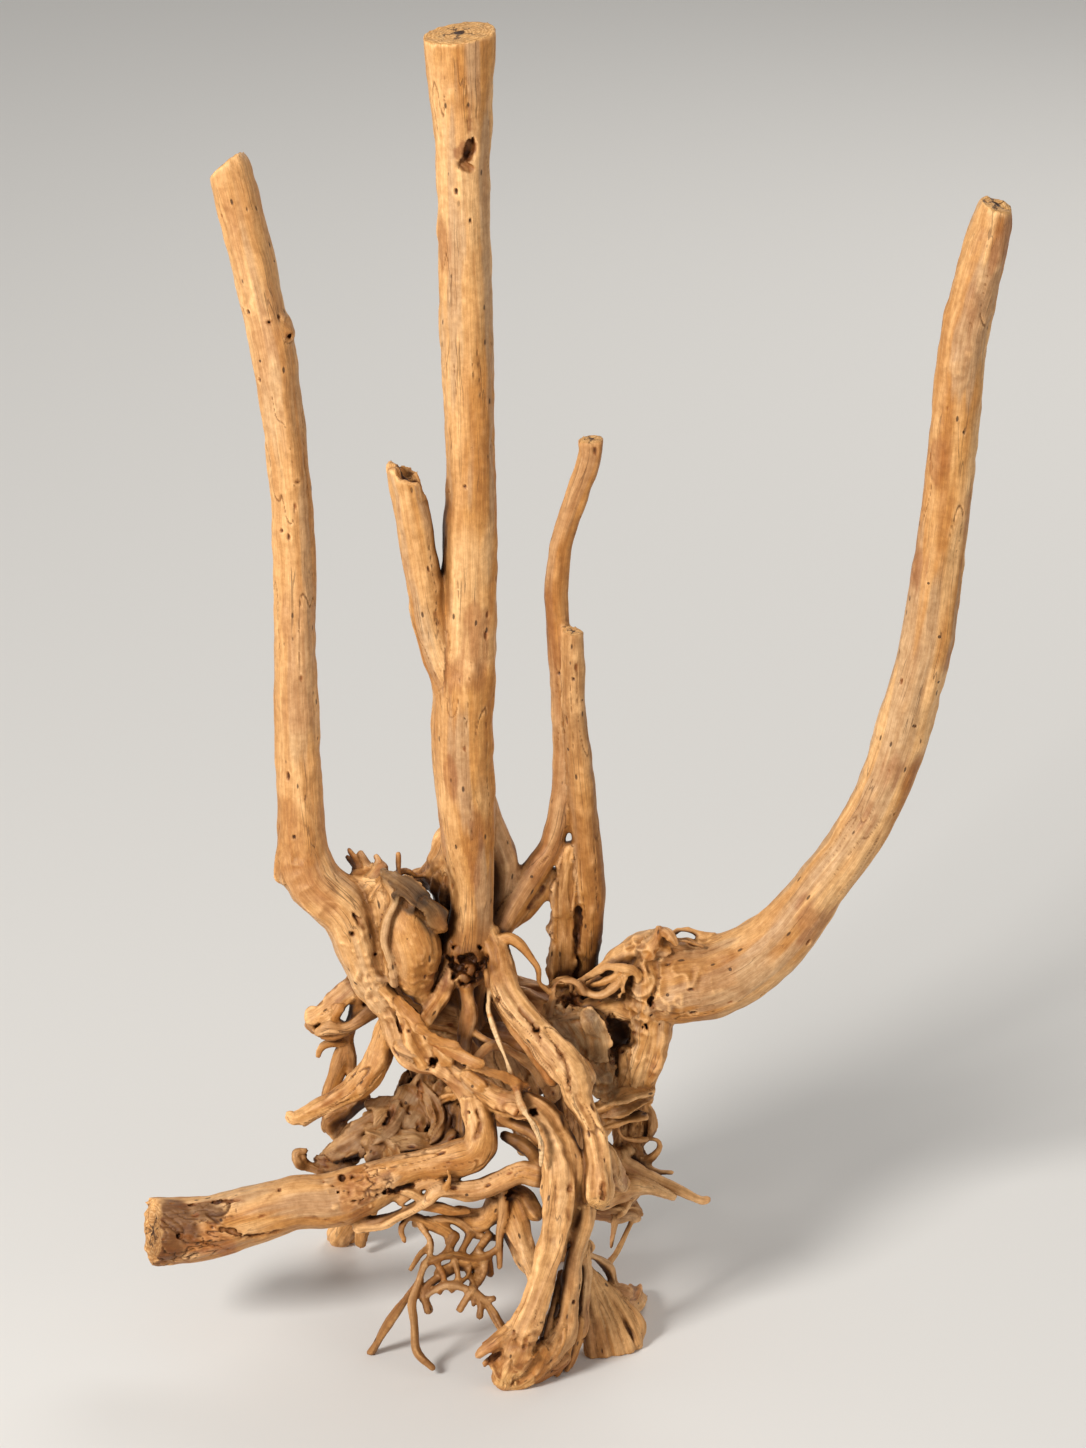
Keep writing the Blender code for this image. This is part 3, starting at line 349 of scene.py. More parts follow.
# Thin crumpled plates of bark and split wood: group, the side they face, how thick they are and how
# deeply they are folded in mm, and a centre line of (x, y, z, half width).
PLATES = {
    "bark_upper": ("bark", (0.35, -0.8, 0.5), 2.2, 1.2, [(-92, -8, 247, 3), (-86, -15, 246, 4),
        (-80, -15, 242, 4.5), (-74, -15, 236, 4)]),
    "bark_middle": ("bark", (0.1, -0.9, 0.4), 1.8, 1.2, [(-86, -19, 239, 2), (-82, -13, 233, 2.5),
        (-78, -15, 231, 2.5)]),
    "bark_lower": ("bark", (0.1, -0.9, 0.4), 3.4, 1.0, [(-71, -15, 234, 4), (-67, -13, 229, 5),
        (-65, -13, 224, 5), (-63, -13, 221, 3.5)]),
    "bark_edge": ("bark", (0.0, -0.8, 0.6), 1.8, 1.2, [(-72, -13, 225, 2.5), (-67, -13, 221, 3.5),
        (-62, -10, 218, 2.5)]),
    "sheet_main": ("bark", (0.1, -0.97, 0.2), 2.0, 3.2, [(-5, -7, 172, 5.5), (3, -9, 165, 9),
        (10, -8, 154, 11), (13, -6, 141, 10), (17, -4, 130, 7.5)]),
    "sheet_wing": ("bark", (-0.3, -0.9, 0.3), 1.8, 2.6, [(12, -10, 168, 5), (15, -10, 159, 6),
        (16, -9, 149, 6)]),
    "sheet_lobe": ("bark", (0.35, -0.85, 0.3), 1.8, 2.4, [(16, -8, 142, 5), (21, -8, 134, 6.5),
        (20, -6, 125, 4.5)]),
    "fold_main": ("bark", (0.0, -0.88, 0.45), 3.0, 3.4, [(-73, 1, 131, 4.5), (-76, -3, 122, 10.5),
        (-83, -9, 112, 15.5), (-91, -17, 104, 12.5)]),
    "fold_right": ("bark", (0.25, -0.9, 0.35), 2.8, 2.8, [(-65, -3, 125, 6), (-58, -9, 119, 8),
        (-60, -15, 110, 8.5)]),
    "fold_left": ("bark", (-0.2, -0.85, 0.5), 2.8, 2.6, [(-89, -9, 113, 7), (-102, -13, 106, 8.5),
        (-112, -15, 100, 7), (-120, -15, 95, 4.5)]),
    "fold_shelf": ("bark", (0.1, -0.5, 0.85), 2.4, 2.0, [(-99, -15, 110, 4), (-86, -19, 107, 6),
        (-70, -21, 106, 6), (-59, -19, 109, 4)]),
    "ledge_top": ("bark", (0.1, -0.45, 0.88), 1.8, 1.8, [(16, -5, 118, 3), (25, -8, 123, 4.5),
        (34, -7, 126, 4.5), (41, -4, 127, 3)]),
    "ledge_mid": ("bark", (0.1, -0.4, 0.9), 1.6, 1.6, [(19, -7, 113, 2.5), (28, -9, 118, 4),
        (36, -7, 121, 3.5), (42, -4, 122, 2.5)]),
    "ledge_low": ("bark", (0.0, -0.5, 0.85), 1.6, 1.6, [(20, -7, 107, 2.5), (28, -8, 111, 3.5),
        (38, -5, 113, 3)]),
    "plank_left": ("limb", (0.05, -0.99, 0.1), 6.5, 0.8, [(2, 20, 249, 2), (0, 21, 237, 4.5),
        (-1, 22, 221, 6), (-2, 24, 165, 5.5)]),
    "heel_flap": ("crown", (0.3, -0.9, 0.2), 2.0, 1.4, [(20, -53, 115, 2.5), (24, -51, 104, 4),
        (28, -43, 91, 3)]),
    "knob_skin": ("crown", (-0.2, -0.85, 0.4), 2.0, 1.8, [(-109, 7, 178, 4), (-117, 9, 170, 5),
        (-127, 10, 162, 4.5)]),
    "knob_skin_low": ("crown", (0.0, -0.9, 0.3), 2.0, 2.0, [(-111, 13, 117, 4.5), (-118, 13, 107, 6),
        (-119, 13, 98, 4.5)]),
    "flake_a": ("crown", (0.1, -0.9, 0.4), 1.6, 0.8, [(-84, -37, 190, 3), (-79, -39, 184, 4),
        (-74, -43, 179, 3)]),
    "flake_b": ("crown", (0.1, -0.9, 0.4), 1.3, 0.8, [(-74, -44, 178, 2), (-65, -46, 173, 2),
        (-56, -48, 171, 1.5)]),
    "flake_c": ("crown", (0.1, -0.9, 0.4), 1.4, 0.9, [(-67, -47, 172, 2.5), (-56, -50, 167, 3),
        (-44, -54, 163, 2.5)]),
    "flake_d": ("crown", (0.1, -0.9, 0.4), 1.3, 0.8, [(-46, -52, 161, 2), (-33, -49, 154, 2.5),
        (-20, -44, 146, 2)]),
}

# Hollows, slots, rot and cracks: strands that are taken away.
CARVES = {
    "knot_hole": [(-48, -19, 631, 1.5), (-47, -19, 626, 3.5), (-48, -19, 621, 3)],
    "knot_crack": [(-48, -22, 645, 1), (-47, -22, 632, 1)],
    "crotch_crack": [(-66, -16, 396, 1), (-63, -13, 382, 1), (-59, -13, 367, 1)],
    "slot": [(-87, -18, 182, 1.5), (-84, -35, 183, 2.5), (-83, -23, 169, 1.5)],
    "slot_deep": [(-85, -17, 177, 2), (-83, -19, 167, 2)],
    "limb_hollow": [(-19, 14, 220, 2), (-15, 15, 224, 2.5), (-12, 17, 229, 2)],
    "under_arch_a": [(-33, -35, 106, 3), (-24, -39, 103, 3.5)],
    "under_arch_b": [(-31, -39, 86, 3), (-24, -43, 85, 3.5), (-18, -51, 85, 3)],
    "leg_slit": [(-3, -75, 62, 1.5), (-10, -88, 37, 2), (-15, -94, 25, 1.5)],
    "stump_fork": [(-108, -51, 87, 1.5), (-92, -47, 90, 2), (-79, -45, 92, 2)],
    "fold_hole": [(-122, -17, 92, 2.5), (-125, -11, 90, 3)],
    "fold_crease_a": [(-75, -4, 130, 1.5), (-76, -8, 119, 1.5), (-75, -15, 109, 1.5)],
    "fold_crease_b": [(-89, -7, 124, 1.5), (-91, -11, 113, 1.5), (-99, -13, 107, 1.5)],
    "shoulder_gap": [(-74, 3, 234, 3), (-66, 7, 228, 3.5)],
    "burl_seam": [(-72, -11, 220, 1), (-71, -14, 208, 1.5), (-72, -15, 195, 1)],
    "shoulder_seam": [(-111, -12, 231, 1), (-101, -17, 220, 1.5), (-95, -19, 202, 1.5)],
    "plank_gap": [(7, 23, 241, 1.5), (6, 21, 218, 2), (5, 22, 193, 1.5)],
    "comb_a": [(-58, -10, 200, 3), (-58, -6, 198, 2.5)],
    "comb_b": [(-55, -10, 197, 2.5), (-55, -6, 195, 2)],
    "comb_c": [(-51, -10, 202, 3.5), (-51, -6, 201, 3)],
    "comb_d": [(-47, -10, 200, 2.5), (-47, -6, 199, 2)],
    "comb_e": [(-44, -8, 197, 2.5), (-44, -4, 195, 2)],
    "comb_f": [(-43, -10, 192, 2), (-43, -6, 190, 2)],
    "comb_g": [(-57, -10, 192, 2), (-58, -6, 190, 1.5)],
    "comb_h": [(-52, -10, 195, 2.5), (-52, -6, 193, 2)],
    "comb_i": [(-57, -8, 207, 1.5), (-57, -4, 205, 1)],
    "comb_j": [(-44, -8, 207, 1.5), (-44, -4, 205, 1)],
    "comb_k": [(-48, -10, 191, 2.5), (-48, -6, 189, 2)],
    "comb_l": [(-40, -10, 202, 1.5), (-40, -6, 200, 1)],
    "comb_m": [(-53, -10, 188, 2), (-53, -6, 186, 1.5)],
    "heart_left": [(-60, 9, 174, 3), (-57, 13, 162, 4.5), (-56, 14, 150, 5), (-60, 12, 142, 4)],
    "heart_right": [(-44, 11, 179, 2.5), (-42, 13, 167, 4), (-43, 14, 153, 4.5), (-37, 15, 144, 3.5)],
    "knot_crumb": [(-51, -20, 617, 2), (-47, -20, 614, 1.5)],
    "socket_hole": [(23, -3, 164, 4.5), (24, -3, 157, 6), (24, -1, 150, 5)],
    "socket_deep": [(24, 7, 157, 4.5), (24, 9, 148, 4.5)],
    "ring_hole": [(0, -7, 182, 4.5), (1, -3, 177, 5), (2, 3, 173, 4)],
    "rim_hollow": [(55, 11, 204, 2.5), (60, 11, 205, 3.5), (66, 11, 203, 2.5)],
    "pit_hole_a": [(-67, -28, 152, 2.5), (-67, -23, 150, 2)],
    "pit_hole_b": [(-78, -26, 160, 1), (-78, -23, 159, 1)],
    "pit_hole_c": [(-32, 23, 125, 1.5), (-32, 27, 123, 1.5)],
    "pit_hole_d": [(-13, -42, 170, 1.5), (-13, -39, 169, 1)],
    "pit_hole_e": [(-15, -40, 174, 1.5), (-15, -37, 173, 1)],
    "pit_hole_f": [(-27, -46, 132, 2), (-27, -43, 131, 1.5)],
    "pit_hole_g": [(-17, -52, 136, 2), (-17, -49, 134, 1.5)],
    "right_pit_a": [(43, -6, 176, 1.5), (43, -3, 174, 1.5)],
    "right_pit_b": [(40, -4, 162, 2), (40, 0, 160, 1.5)],
    "right_pit_c": [(35, -4, 158, 1.5), (35, -1, 157, 1)],
    "right_pit_d": [(47, -4, 164, 1), (47, -1, 162, 1)],
    "pit_hole_i": [(-34, -28, 186, 1), (-34, -25, 185, 1)],
    "pit_hole_j": [(-108, -16, 218, 1), (-108, -13, 217, 1)],
    "pit_hole_k": [(-96, -14, 205, 1.5), (-96, -12, 204, 1)],
    "pit_left": [(-137, 16, 520, 1.5), (-137, 19, 520, 1)],
    "pit_left_b": [(-146, 14, 528, 1), (-146, 17, 527, 1)],
    "pit_left_c": [(-134, 10, 448, 1), (-134, 12, 448, 1)],
    "toe_cut_a": [(-34, -90, 21, 0.5), (-37, -90, 18, 1), (-40, -92, 14, 0.5)],
    "toe_cut_b": [(-26, -90, 33, 0.5), (-30, -100, 29, 1), (-32, -102, 21, 1), (-34, -94, 9, 0.5)],
    "toe_cut_c": [(-19, -92, 32, 0.5), (-22, -96, 24, 1), (-25, -96, 14, 1), (-28, -92, 3, 0.5)],
    "toe_cut_e": [(-26, -96, 12, 0.5), (-23, -102, 16, 1), (-19, -102, 15, 0.5)],
    "heel_cut_b": [(17, -68, 105, 0.5), (18, -70, 100, 1), (17, -70, 94, 0.5)],
    "diag_cut_b": [(-24, -32, 184, 0.5), (-18, -37, 177, 1), (-13, -42, 172, 0.5)],
    "diag_cut_c": [(-5, -46, 169, 0.5), (0, -53, 161, 1), (2, -56, 149, 0.5)],
    "arch_cut_a": [(-34, -42, 133, 0.5), (-30, -40, 128, 1), (-24, -50, 135, 0.5)],
    "arch_cut_b": [(-50, -36, 135, 0.5), (-51, -38, 129, 1), (-50, -42, 122, 0.5)],
    "arch_cut_c": [(-45, -38, 130, 0.5), (-44, -43, 123, 1), (-47, -46, 118, 0.5)],
    "leg_cut_a": [(2, -68, 103, 0.5), (0, -72, 93, 0.5), (3, -72, 80, 0.5), (1, -64, 65, 0.5)],
    "stump_cut_a": [(-206, -44, 81, 0.5), (-193, -46, 81, 0.5), (-179, -46, 83, 0.5),
        (-163, -50, 86, 0.5)],
    "stump_cut_b": [(-211, -46, 63, 0.5), (-195, -58, 70, 0.5), (-182, -58, 66, 0.5),
        (-169, -52, 60, 0.5)],
    "stump_cut_c": [(-183, -56, 77, 0.5), (-171, -56, 72, 1), (-157, -54, 69, 1), (-143, -52, 72, 0.5)],
    "stump_cut_d": [(-152, -52, 86, 0.5), (-145, -48, 91, 0.5)],
    "stump_cut_g": [(-132, -54, 79, 0.5), (-120, -52, 77, 0.5), (-109, -48, 73, 0.5)],
    "right_cut_b": [(44, -6, 173, 0.5), (41, -4, 164, 0.5), (37, -6, 156, 0.5)],
    "crater_a": [(-118, -47, 92, 1), (-118, -44, 91, 1)],
    "crater_b": [(-115, -51, 91, 1), (-116, -48, 89, 0.5)],
    "crater_c": [(-108, -45, 97, 1), (-108, -42, 95, 0.5)],
    "crater_d": [(-110, -51, 91, 1), (-110, -48, 90, 0.5)],
    "crater_e": [(-100, -47, 97, 1), (-100, -44, 96, 0.5)],
    "crater_f": [(-114, -44, 96, 1), (-114, -41, 95, 0.5)],
    "crater_g": [(-103, -51, 91, 0.5), (-103, -48, 90, 0.5)],
}

# How each group of strands is shaped: the depth of its flutes and ribs as a share of the radius, how
# closely they stand round it, how many mm they run along it, and over how many mm it blends into the wood
# next to it.
STYLES = {
    "limb": dict(flute=0.08, rib=0.012, sides=1.2, reach=70.0, blend=4.2),
    "crown": dict(flute=0.17, rib=0.04, sides=1.7, reach=42.0, blend=3.6),
    "bark": dict(flute=0.42, rib=0.16, sides=2.4, reach=16.0, blend=1.2),
    "root": dict(flute=0.22, rib=0.05, sides=1.6, reach=38.0, blend=2.4),
    "back": dict(flute=0.24, rib=0.07, sides=1.9, reach=48.0, blend=4.2),
    "rootlet": dict(flute=0.2, rib=0.08, sides=1.4, reach=14.0, blend=1.4),
}
ROUGHNESS_OF = {"limb": 0.55, "crown": 1.0, "back": 1.15, "root": 1.0, "bark": 0.75, "rootlet": 0.6}
GROUPS = (("limb", LIMBS), ("crown", CROWN), ("back", BACK), ("root", ROOTS), ("bark", BARK),
          ("rootlet", ROOTLETS))

# Sawn or broken ends: a point on the face, the direction in which the wood is missing, and how ragged the
# face is in mm.
SAWN = {
    "tall_limb": ((-52, -9, 678.4), (-0.1, -0.1, 0.99), 0.35),
    "left_limb": ((-166, 31, 603.5), (-0.62, 0.3, 0.72), 0.3),
    "thin_limb": ((12, 15, 468), (-0.05, 0.0, 1.0), 0.2),
    "stub_limb": ((3, 11, 369), (0.05, 0.0, 1.0), 0.4),
    "stump_limb": ((-210, -43, 66), (-0.95, -0.27, 0.12), 1.1),
    "side_branch": ((-80, -9, 457), (0.42, -0.1, 0.9), 3.4),
    "front_leg": ((-30, -90, 5), (-0.2, -0.6, -0.77), 1.2),
    "diagonal_root": ((15, -66, 89), (0.1, -0.72, -0.69), 0.4),
    "right_limb": ((208, -4, 592), (0.3, -0.1, 0.95), 0.8),
}
# Ends that broke long ago and have gone brown.
OLD_BREAKS = ("stump_limb", "side_branch", "front_leg")

# Crumbling, rotten patches: centre and radius in mm.
ROT = (
    ((-186, -62, 78), 21.0),
    ((-208, -50, 62), 19.0),
    ((-98, -50, 95), 9.0),
    ((-49, -22, 207), 11.0),
)
# Knobbly and wrinkled patches: centre and radius in mm, height of the warts and depth of the wrinkles.
CRUMPLED = (
    ((-85, -26, 195), 34.0, 0.55, 0.5),
    ((43, -3, 191), 34.0, 0.0, 0.9),
    ((28, -11, 144), 22.0, 0.0, 0.7),
    ((-138, -16, 231), 26.0, 0.0, 0.5),
    ((-18, -58, 135), 20.0, 0.0, 0.6),
    ((-68, -33, 159), 18.0, 0.0, 0.5),
    ((-24, -100, 19), 26.0, 0.0, 0.7),
    ((-113, -50, 93), 11.0, 1.0, 0.4),
    ((-101, -50, 95), 11.0, 1.0, 0.4),
)
# Turns the wrinkles away from the strand's own axes.
SLANT = np.array(((0.8, 0.5, -0.3), (-0.52, 0.84, 0.15), (0.33, 0.04, 0.94)))
CRACK_DEPTH = 1.1                       # mm
PIT_DEPTH = 1.5                         # mm
SEAM_DEPTH = 1.3                        # mm, in rotten wood
SHELTER_REACHES = (2.5, 4.0, 6.5, 10.0, 15.0, 22.0)     # mm from a vertex at which wood hides the light
SHELTER_DIRECTIONS = 26


# ------------------------------------------------------------------ noise

def lattice(ix, iy, iz, seed):
    """A repeatable value from -1 to 1 for each whole-number point."""
    mixed = ix.astype(np.uint32) * np.uint32(73856093)
    mixed ^= iy.astype(np.uint32) * np.uint32(19349663)
    mixed ^= iz.astype(np.uint32) * np.uint32(83492791)
    mixed ^= np.uint32((seed * 2654435761) & 0xFFFFFFFF)
    mixed ^= mixed >> np.uint32(15)
    mixed *= np.uint32(2246822519)
    mixed ^= mixed >> np.uint32(13)
    mixed *= np.uint32(3266489917)
    mixed ^= mixed >> np.uint32(16)
    return mixed.astype(np.float32) * np.float32(2.0 / 4294967295.0) - np.float32(1.0)


def noise(x, y, z, seed):
    """Smooth noise, mostly from -1 to 1, with features about one unit across."""
    cells, ease = [], []
    for axis in (x, y, z):
        low = np.floor(axis)
        part = (axis - low).astype(np.float32)
        cells.append(low.astype(np.int64))
        ease.append(part * part * (3.0 - 2.0 * part))
    total = np.zeros(len(x), np.float32)
    for corner in range(8):
        dx, dy, dz = corner & 1, (corner >> 1) & 1, corner >> 2
        share = (ease[0] if dx else 1.0 - ease[0]) * (ease[1] if dy else 1.0 - ease[1])
        share = share * (ease[2] if dz else 1.0 - ease[2])
        total += share * lattice(cells[0] + dx, cells[1] + dy, cells[2] + dz, SEED + seed)
    return total * 1.5


def noise_at(points, size, seed):
    """Noise over points in mm, with features of the given size in mm."""
    return noise(points[:, 0] / size, points[:, 1] / size, points[:, 2] / size, seed)


def grain_noise(grain, across, along, seed, sway=0.0, drift=0.0):
    """Noise that follows the grain, with features of the given size in mm across it and along it.

    Sway shifts each point sideways and drift shifts it along the grain, both in mm.
    """
    x, y = (grain[:, 0] + sway) / across, (grain[:, 1] - sway) / across
    return noise(x, y, (grain[:, 2] + drift) / along, seed)


def pits_at(x, y, z, seed, chance, radius):
    """1 in the middle of scattered round pits, 0 outside them; one unit holds one pit or none."""
    cell = [np.floor(axis).astype(np.int64) for axis in (x, y, z)]
    deepest = np.zeros(len(x), np.float32)
    for shift in range(27):
        near = [c + d for c, d in zip(cell, (shift % 3 - 1, shift // 3 % 3 - 1, shift // 9 - 1))]
        there = lattice(*near, seed) < 2.0 * chance - 1.0
        if not there.any():
            continue
        some = [c[there] for c in near]
        away = np.zeros(len(some[0]))
        for axis, c, turn in zip((x, y, z), some, (1, 2, 3)):
            away += (axis[there] - c - 0.5 - 0.35 * lattice(*some, seed + turn)) ** 2
        size = radius * (1.0 + 0.45 * lattice(*some, seed + 4))
        depth = 1.0 - smooth_step(np.sqrt(away) / size, 0.45, 1.0)
        deepest[there] = np.maximum(deepest[there], depth)
    return deepest


def smooth_step(value, low, high):
    """0 up to low, 1 from high, and a smooth rise between them."""
    share = np.clip((value - low) / (high - low), 0.0, 1.0)
    return share * share * (3.0 - 2.0 * share)


# ------------------------------------------------------------------ strands

class Strand:
    """A smooth curve with a radius, and a frame that is carried along it without twisting.

    A plate is a strand too: its radius is half its width, and it has a face, a thickness and a fold.
    """

    def __init__(self, name, points, group, plate=None):
        self.name, self.group, self.plate = name, group, plate
        self.style = STYLES[group]
        self.seed = sum(ord(letter) * (7 + place) for place, letter in enumerate(name)) % 997
        samples = self.sample(np.array(points, float))
        self.centre = samples[:, :3]
        self.radius = np.maximum(samples[:, 3], THINNEST)
        steps = np.linalg.norm(np.diff(self.centre, axis=0), axis=1)
        self.along = np.concatenate([[0.0], np.cumsum(steps)])
        self.length = self.along[-1]
        self.tangent = np.gradient(self.centre, self.along, axis=0)
        self.tangent /= np.linalg.norm(self.tangent, axis=1, keepdims=True)
        self.side = self.carry_side()

    def sample(self, knots):
        """Points and radii every 2 mm or so on a curve through the knots."""
        padded = np.vstack([2 * knots[0] - knots[1], knots, 2 * knots[-1] - knots[-2]])
        samples = []
        for a, b, c, d in zip(padded[:-3], padded[1:-2], padded[2:-1], padded[3:]):
            count = max(2, int(np.linalg.norm(c[:3] - b[:3]) / STEP))
            for t in np.arange(count) / count:
                samples.append(0.5 * (2 * b + (c - a) * t + (2 * a - 5 * b + 4 * c - d) * t * t
                                      + (3 * b - a - 3 * c + d) * t * t * t))
        samples.append(knots[-1])
        return np.array(samples)

    def carry_side(self):
        """A sideways direction at each sample."""
        start = np.cross(self.tangent[0], (0.0, 1.0, 0.0))
        if np.linalg.norm(start) < 0.2:
            start = np.cross(self.tangent[0], (1.0, 0.0, 0.0))
        sides = [start / np.linalg.norm(start)]
        for tangent in self.tangent[1:]:
            side = sides[-1] - tangent * np.dot(sides[-1], tangent)
            sides.append(side / np.linalg.norm(side))
        return np.array(sides)

    def at(self, values, along):
        """A sampled quantity read at places along the strand."""
        if values.ndim == 1:
            return np.interp(along, self.along, values)
        return np.stack([np.interp(along, self.along, column) for column in values.T], axis=1)

    def place(self, points, along):
        """Where points lie on the strand: along it, off its axis, and the offset in its own frame."""
        for _ in range(2):
            offset = points - self.at(self.centre, along)
            along = np.clip(along + np.einsum("ij,ij->i", offset, self.at(self.tangent, along)),
                            0.0, self.length)
        offset = points - self.at(self.centre, along)
        side = self.at(self.side, along)
        up = np.cross(self.at(self.tangent, along), side)
        across = np.einsum("ij,ij->i", offset, side)
        height = np.einsum("ij,ij->i", offset, up)
        return along, offset, across, height

    def plate_depth(self, points, along):
        """Distance from a crumpled plate, negative inside."""
        along, offset, across, height = self.place(points, along)
        lift = offset @ self.plate["face"]
        within = np.sqrt(np.maximum((offset ** 2).sum(axis=1) - lift ** 2, 0.0))
        reach = self.at(self.radius, along)
        crease = 1.0 - 2.0 * np.abs(noise_at(points, 11.0, self.seed + 2))
        buckle = 0.6 * noise_at(points, 17.0, self.seed + 3) + 0.4 * crease
        lift = lift + self.plate["fold"] * buckle
        ragged = 1.0 + 0.3 * noise_at(points, 6.0, self.seed + 4)
        ragged = ragged + 0.12 * noise_at(points, 2.6, self.seed + 5)
        ridge = 1.0 - 2.0 * np.abs(noise(across / 3.2, height / 3.2, along / 14.0, self.seed + 6))
        half = 0.5 * self.plate["thick"] * (1.0 + 0.3 * ridge)
        slant = math.sqrt(1.0 + (self.plate["fold"] / 9.0) ** 2)
        over, beyond = (np.abs(lift) - half) / slant, within - reach * ragged
        outside = np.hypot(np.maximum(over, 0.0), np.maximum(beyond, 0.0))
        return outside + np.minimum(np.maximum(over, beyond), 0.0)

    def depth(self, points, along):
        """Distance from the strand's fluted skin, negative inside."""
        if self.plate:
            return self.plate_depth(points, along)
        along, offset, across, height = self.place(points, along)
        off_axis = np.linalg.norm(offset, axis=1)
        spoke = np.hypot(across, height) + 1e-6
        cos, sin = across / spoke, height / spoke
        style = self.style
        turn = along / style["reach"]
        twist = 0.6 * np.sin(turn * 0.7 + self.seed)
        cos, sin = cos * np.cos(twist) - sin * np.sin(twist), sin * np.cos(twist) + cos * np.sin(twist)
        sides = style["sides"]
        flute = noise(cos * sides, sin * sides, turn, self.seed)
        rib = noise(cos * sides * 2.7, sin * sides * 2.7, turn * 2.2, self.seed + 1)
        radius = self.at(self.radius, along)
        return off_axis - radius * (1.0 + style["flute"] * flute + style["rib"] * rib)


def grow_strands():
    """All strands in the order in which they are blended, with the plates last."""
    strands = [Strand(name, points, group) for group, lines in GROUPS for name, points in lines.items()]
    for name, (group, face, thick, fold, points) in PLATES.items():
        face = np.array(face, float)
        plate = dict(face=face / np.linalg.norm(face), thick=thick, fold=fold)
        strands.append(Strand(name, points, group, plate))
    return strands


def sawn_plane(strand):
    """A point on the strand's sawn face, the unit direction out of it, and how ragged it is."""
    point, missing, ragged = SAWN[strand.name]
    missing = np.array(missing, float)
    return np.array(point, float), missing / np.linalg.norm(missing), ragged


# ------------------------------------------------------------------ field

def window(first, last):
    """The slices of an array from one voxel to another."""
    return tuple(slice(low, high) for low, high in zip(first, last))


